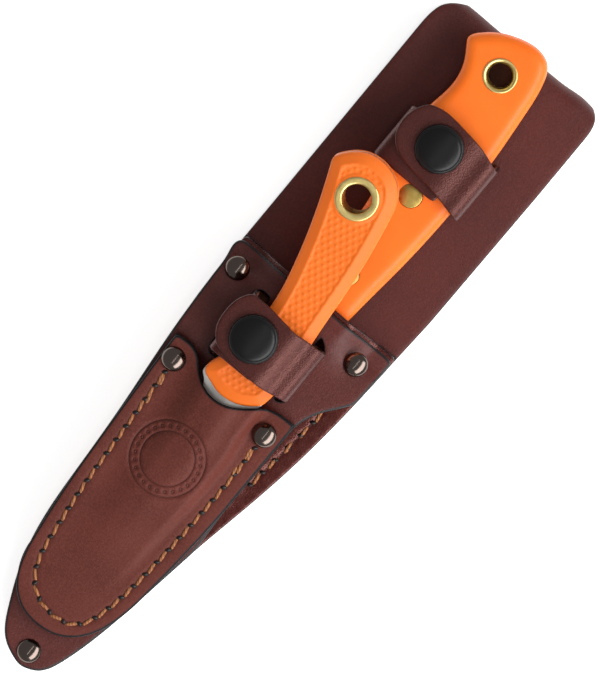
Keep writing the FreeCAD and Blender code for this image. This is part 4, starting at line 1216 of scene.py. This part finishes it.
rivet_head = turned("rivet_head", profile, plain, (0, 0), gunmetal, 32)
seats = [(spot, carrier_top) for spot in CARRIER_RIVETS + [TIP_RIVET]]
seats += [(spot, pocket_top) for spot in EAR_RIVETS]
heads = loose_line("heads", [lay(*spot, seat_on(spot, top)) for spot, top in seats])
WASHER_R, WASHER_THICK = 3.1, 0.7
washer_profile = [(0, -0.75), (0.9, -0.7), (1.5, -0.45), (1.6, -0.05), (2.9, 0), (WASHER_R, 0.1),
                  (WASHER_R, 0.6), (2.9, WASHER_THICK), (0, WASHER_THICK)]
washer = turned("washer", washer_profile, plain, (0, 0), gunmetal, 32)
slope = (BED - DIP) / (RAMP[1] - RAMP[0]) * WASHER_R    # fall of the ramp across a washer
washers = loose_line("washers", [
    lay(*spot, panel_top(spot[1]) - 2 * LEATHER - GAP - slope - WASHER_THICK)
    for spot in CARRIER_RIVETS])


def on_every_point(tree, given):
    """Every point, upright, and turned by any angle."""
    spots = add(tree, "GeometryNodeMeshToPoints", (), {0: given["Base"]})
    spin = add(tree, "FunctionNodeRandomValue", {"data_type": "FLOAT"},
               {2: 0.0, 3: 6.28, "Seed": given["Seed"]})
    upright = add(tree, "FunctionNodeAlignRotationToVector", {"axis": "Z"},
                  {"Vector": given["Up"]})
    return spots.outputs[0], upright.outputs[0], spin.outputs[1]


on_points = set_items("items_on_points", (), on_every_point)
rivets = grown("rivets_set", heads, on_points, Item=rivet_head, Up=tuple(lay_up), Seed=7,
               Finish=gunmetal)
burrs = grown("rivet_washers_peened", washers, on_points, Item=washer, Up=tuple(lay_up), Seed=9,
              Finish=gunmetal)
bpy.data.objects.remove(rivet_head)
bpy.data.objects.remove(washer)
for piece, stands_for in ((rivets, ("carrier_rivets", "tip_rivet", "pocket_ear_rivets")),
                          (burrs, ("rivet_burrs",))):
    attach(piece, "sheath")
    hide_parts(*stands_for)

# ---- Table, light and camera ----------------------------------------------------------------
# A matt white table under soft light: a broad lamp on the sheath's right, low enough to shade
# its left side, and a pale room. The camera looks straight down from far off.
white, tree, shader, _ = blank_material("matt_white_table")
feed(tree, shader, {"Base Color": linear("#f7f7f7"), "Roughness": 0.9,
                    "Emission Color": linear("#ffffff"), "Emission Strength": 0.7})
floor_mesh = bpy.data.meshes.new("table")
floor_mesh.from_pydata([(-8, -8, 0), (8, -8, 0), (8, 8, 0), (-8, 8, 0)], [], [(0, 1, 2, 3)])
floor_mesh.materials.append(white)
floor = set_down("table", floor_mesh)

room = bpy.data.worlds.new("pale_room")
room.use_nodes = True
room.node_tree.nodes["Background"].inputs["Color"].default_value = linear("#ffffff")
room.node_tree.nodes["Background"].inputs["Strength"].default_value = 0.34
bpy.context.scene.world = room
middle = Vector((0.00264, -0.02162, 0.02))
for name, spot, wide, tall, power in (("key_softbox", (0.58, -0.02, 0.56), 0.4, 1.6, 12.0),
                                      ("strip_lamp", (0.08, -0.02, 0.95), 0.035, 1.4, 0.7)):
    lamp = bpy.data.lights.new(name, "AREA")
    lamp.shape, lamp.size, lamp.size_y, lamp.energy = "RECTANGLE", wide, tall, power
    lamp_object = set_down(name, lamp)
    lamp_object.location = spot
    lamp_object.rotation_euler = (0, math.atan2(spot[0] - middle.x, spot[2] - middle.z), 0)

lens = bpy.data.cameras.new("long_lens")
away, seen = 3.0, 0.2133         # distance, and length of table seen, in metres
lens.lens = lens.sensor_width * away / seen
lens.clip_end = 20
camera = set_down("camera", lens)
camera.location = (middle.x, middle.y, middle.z + away)
camera.rotation_euler = (0, 0, math.radians(39.65))
bpy.context.scene.camera = camera
bpy.context.scene.view_settings.view_transform = "Standard"
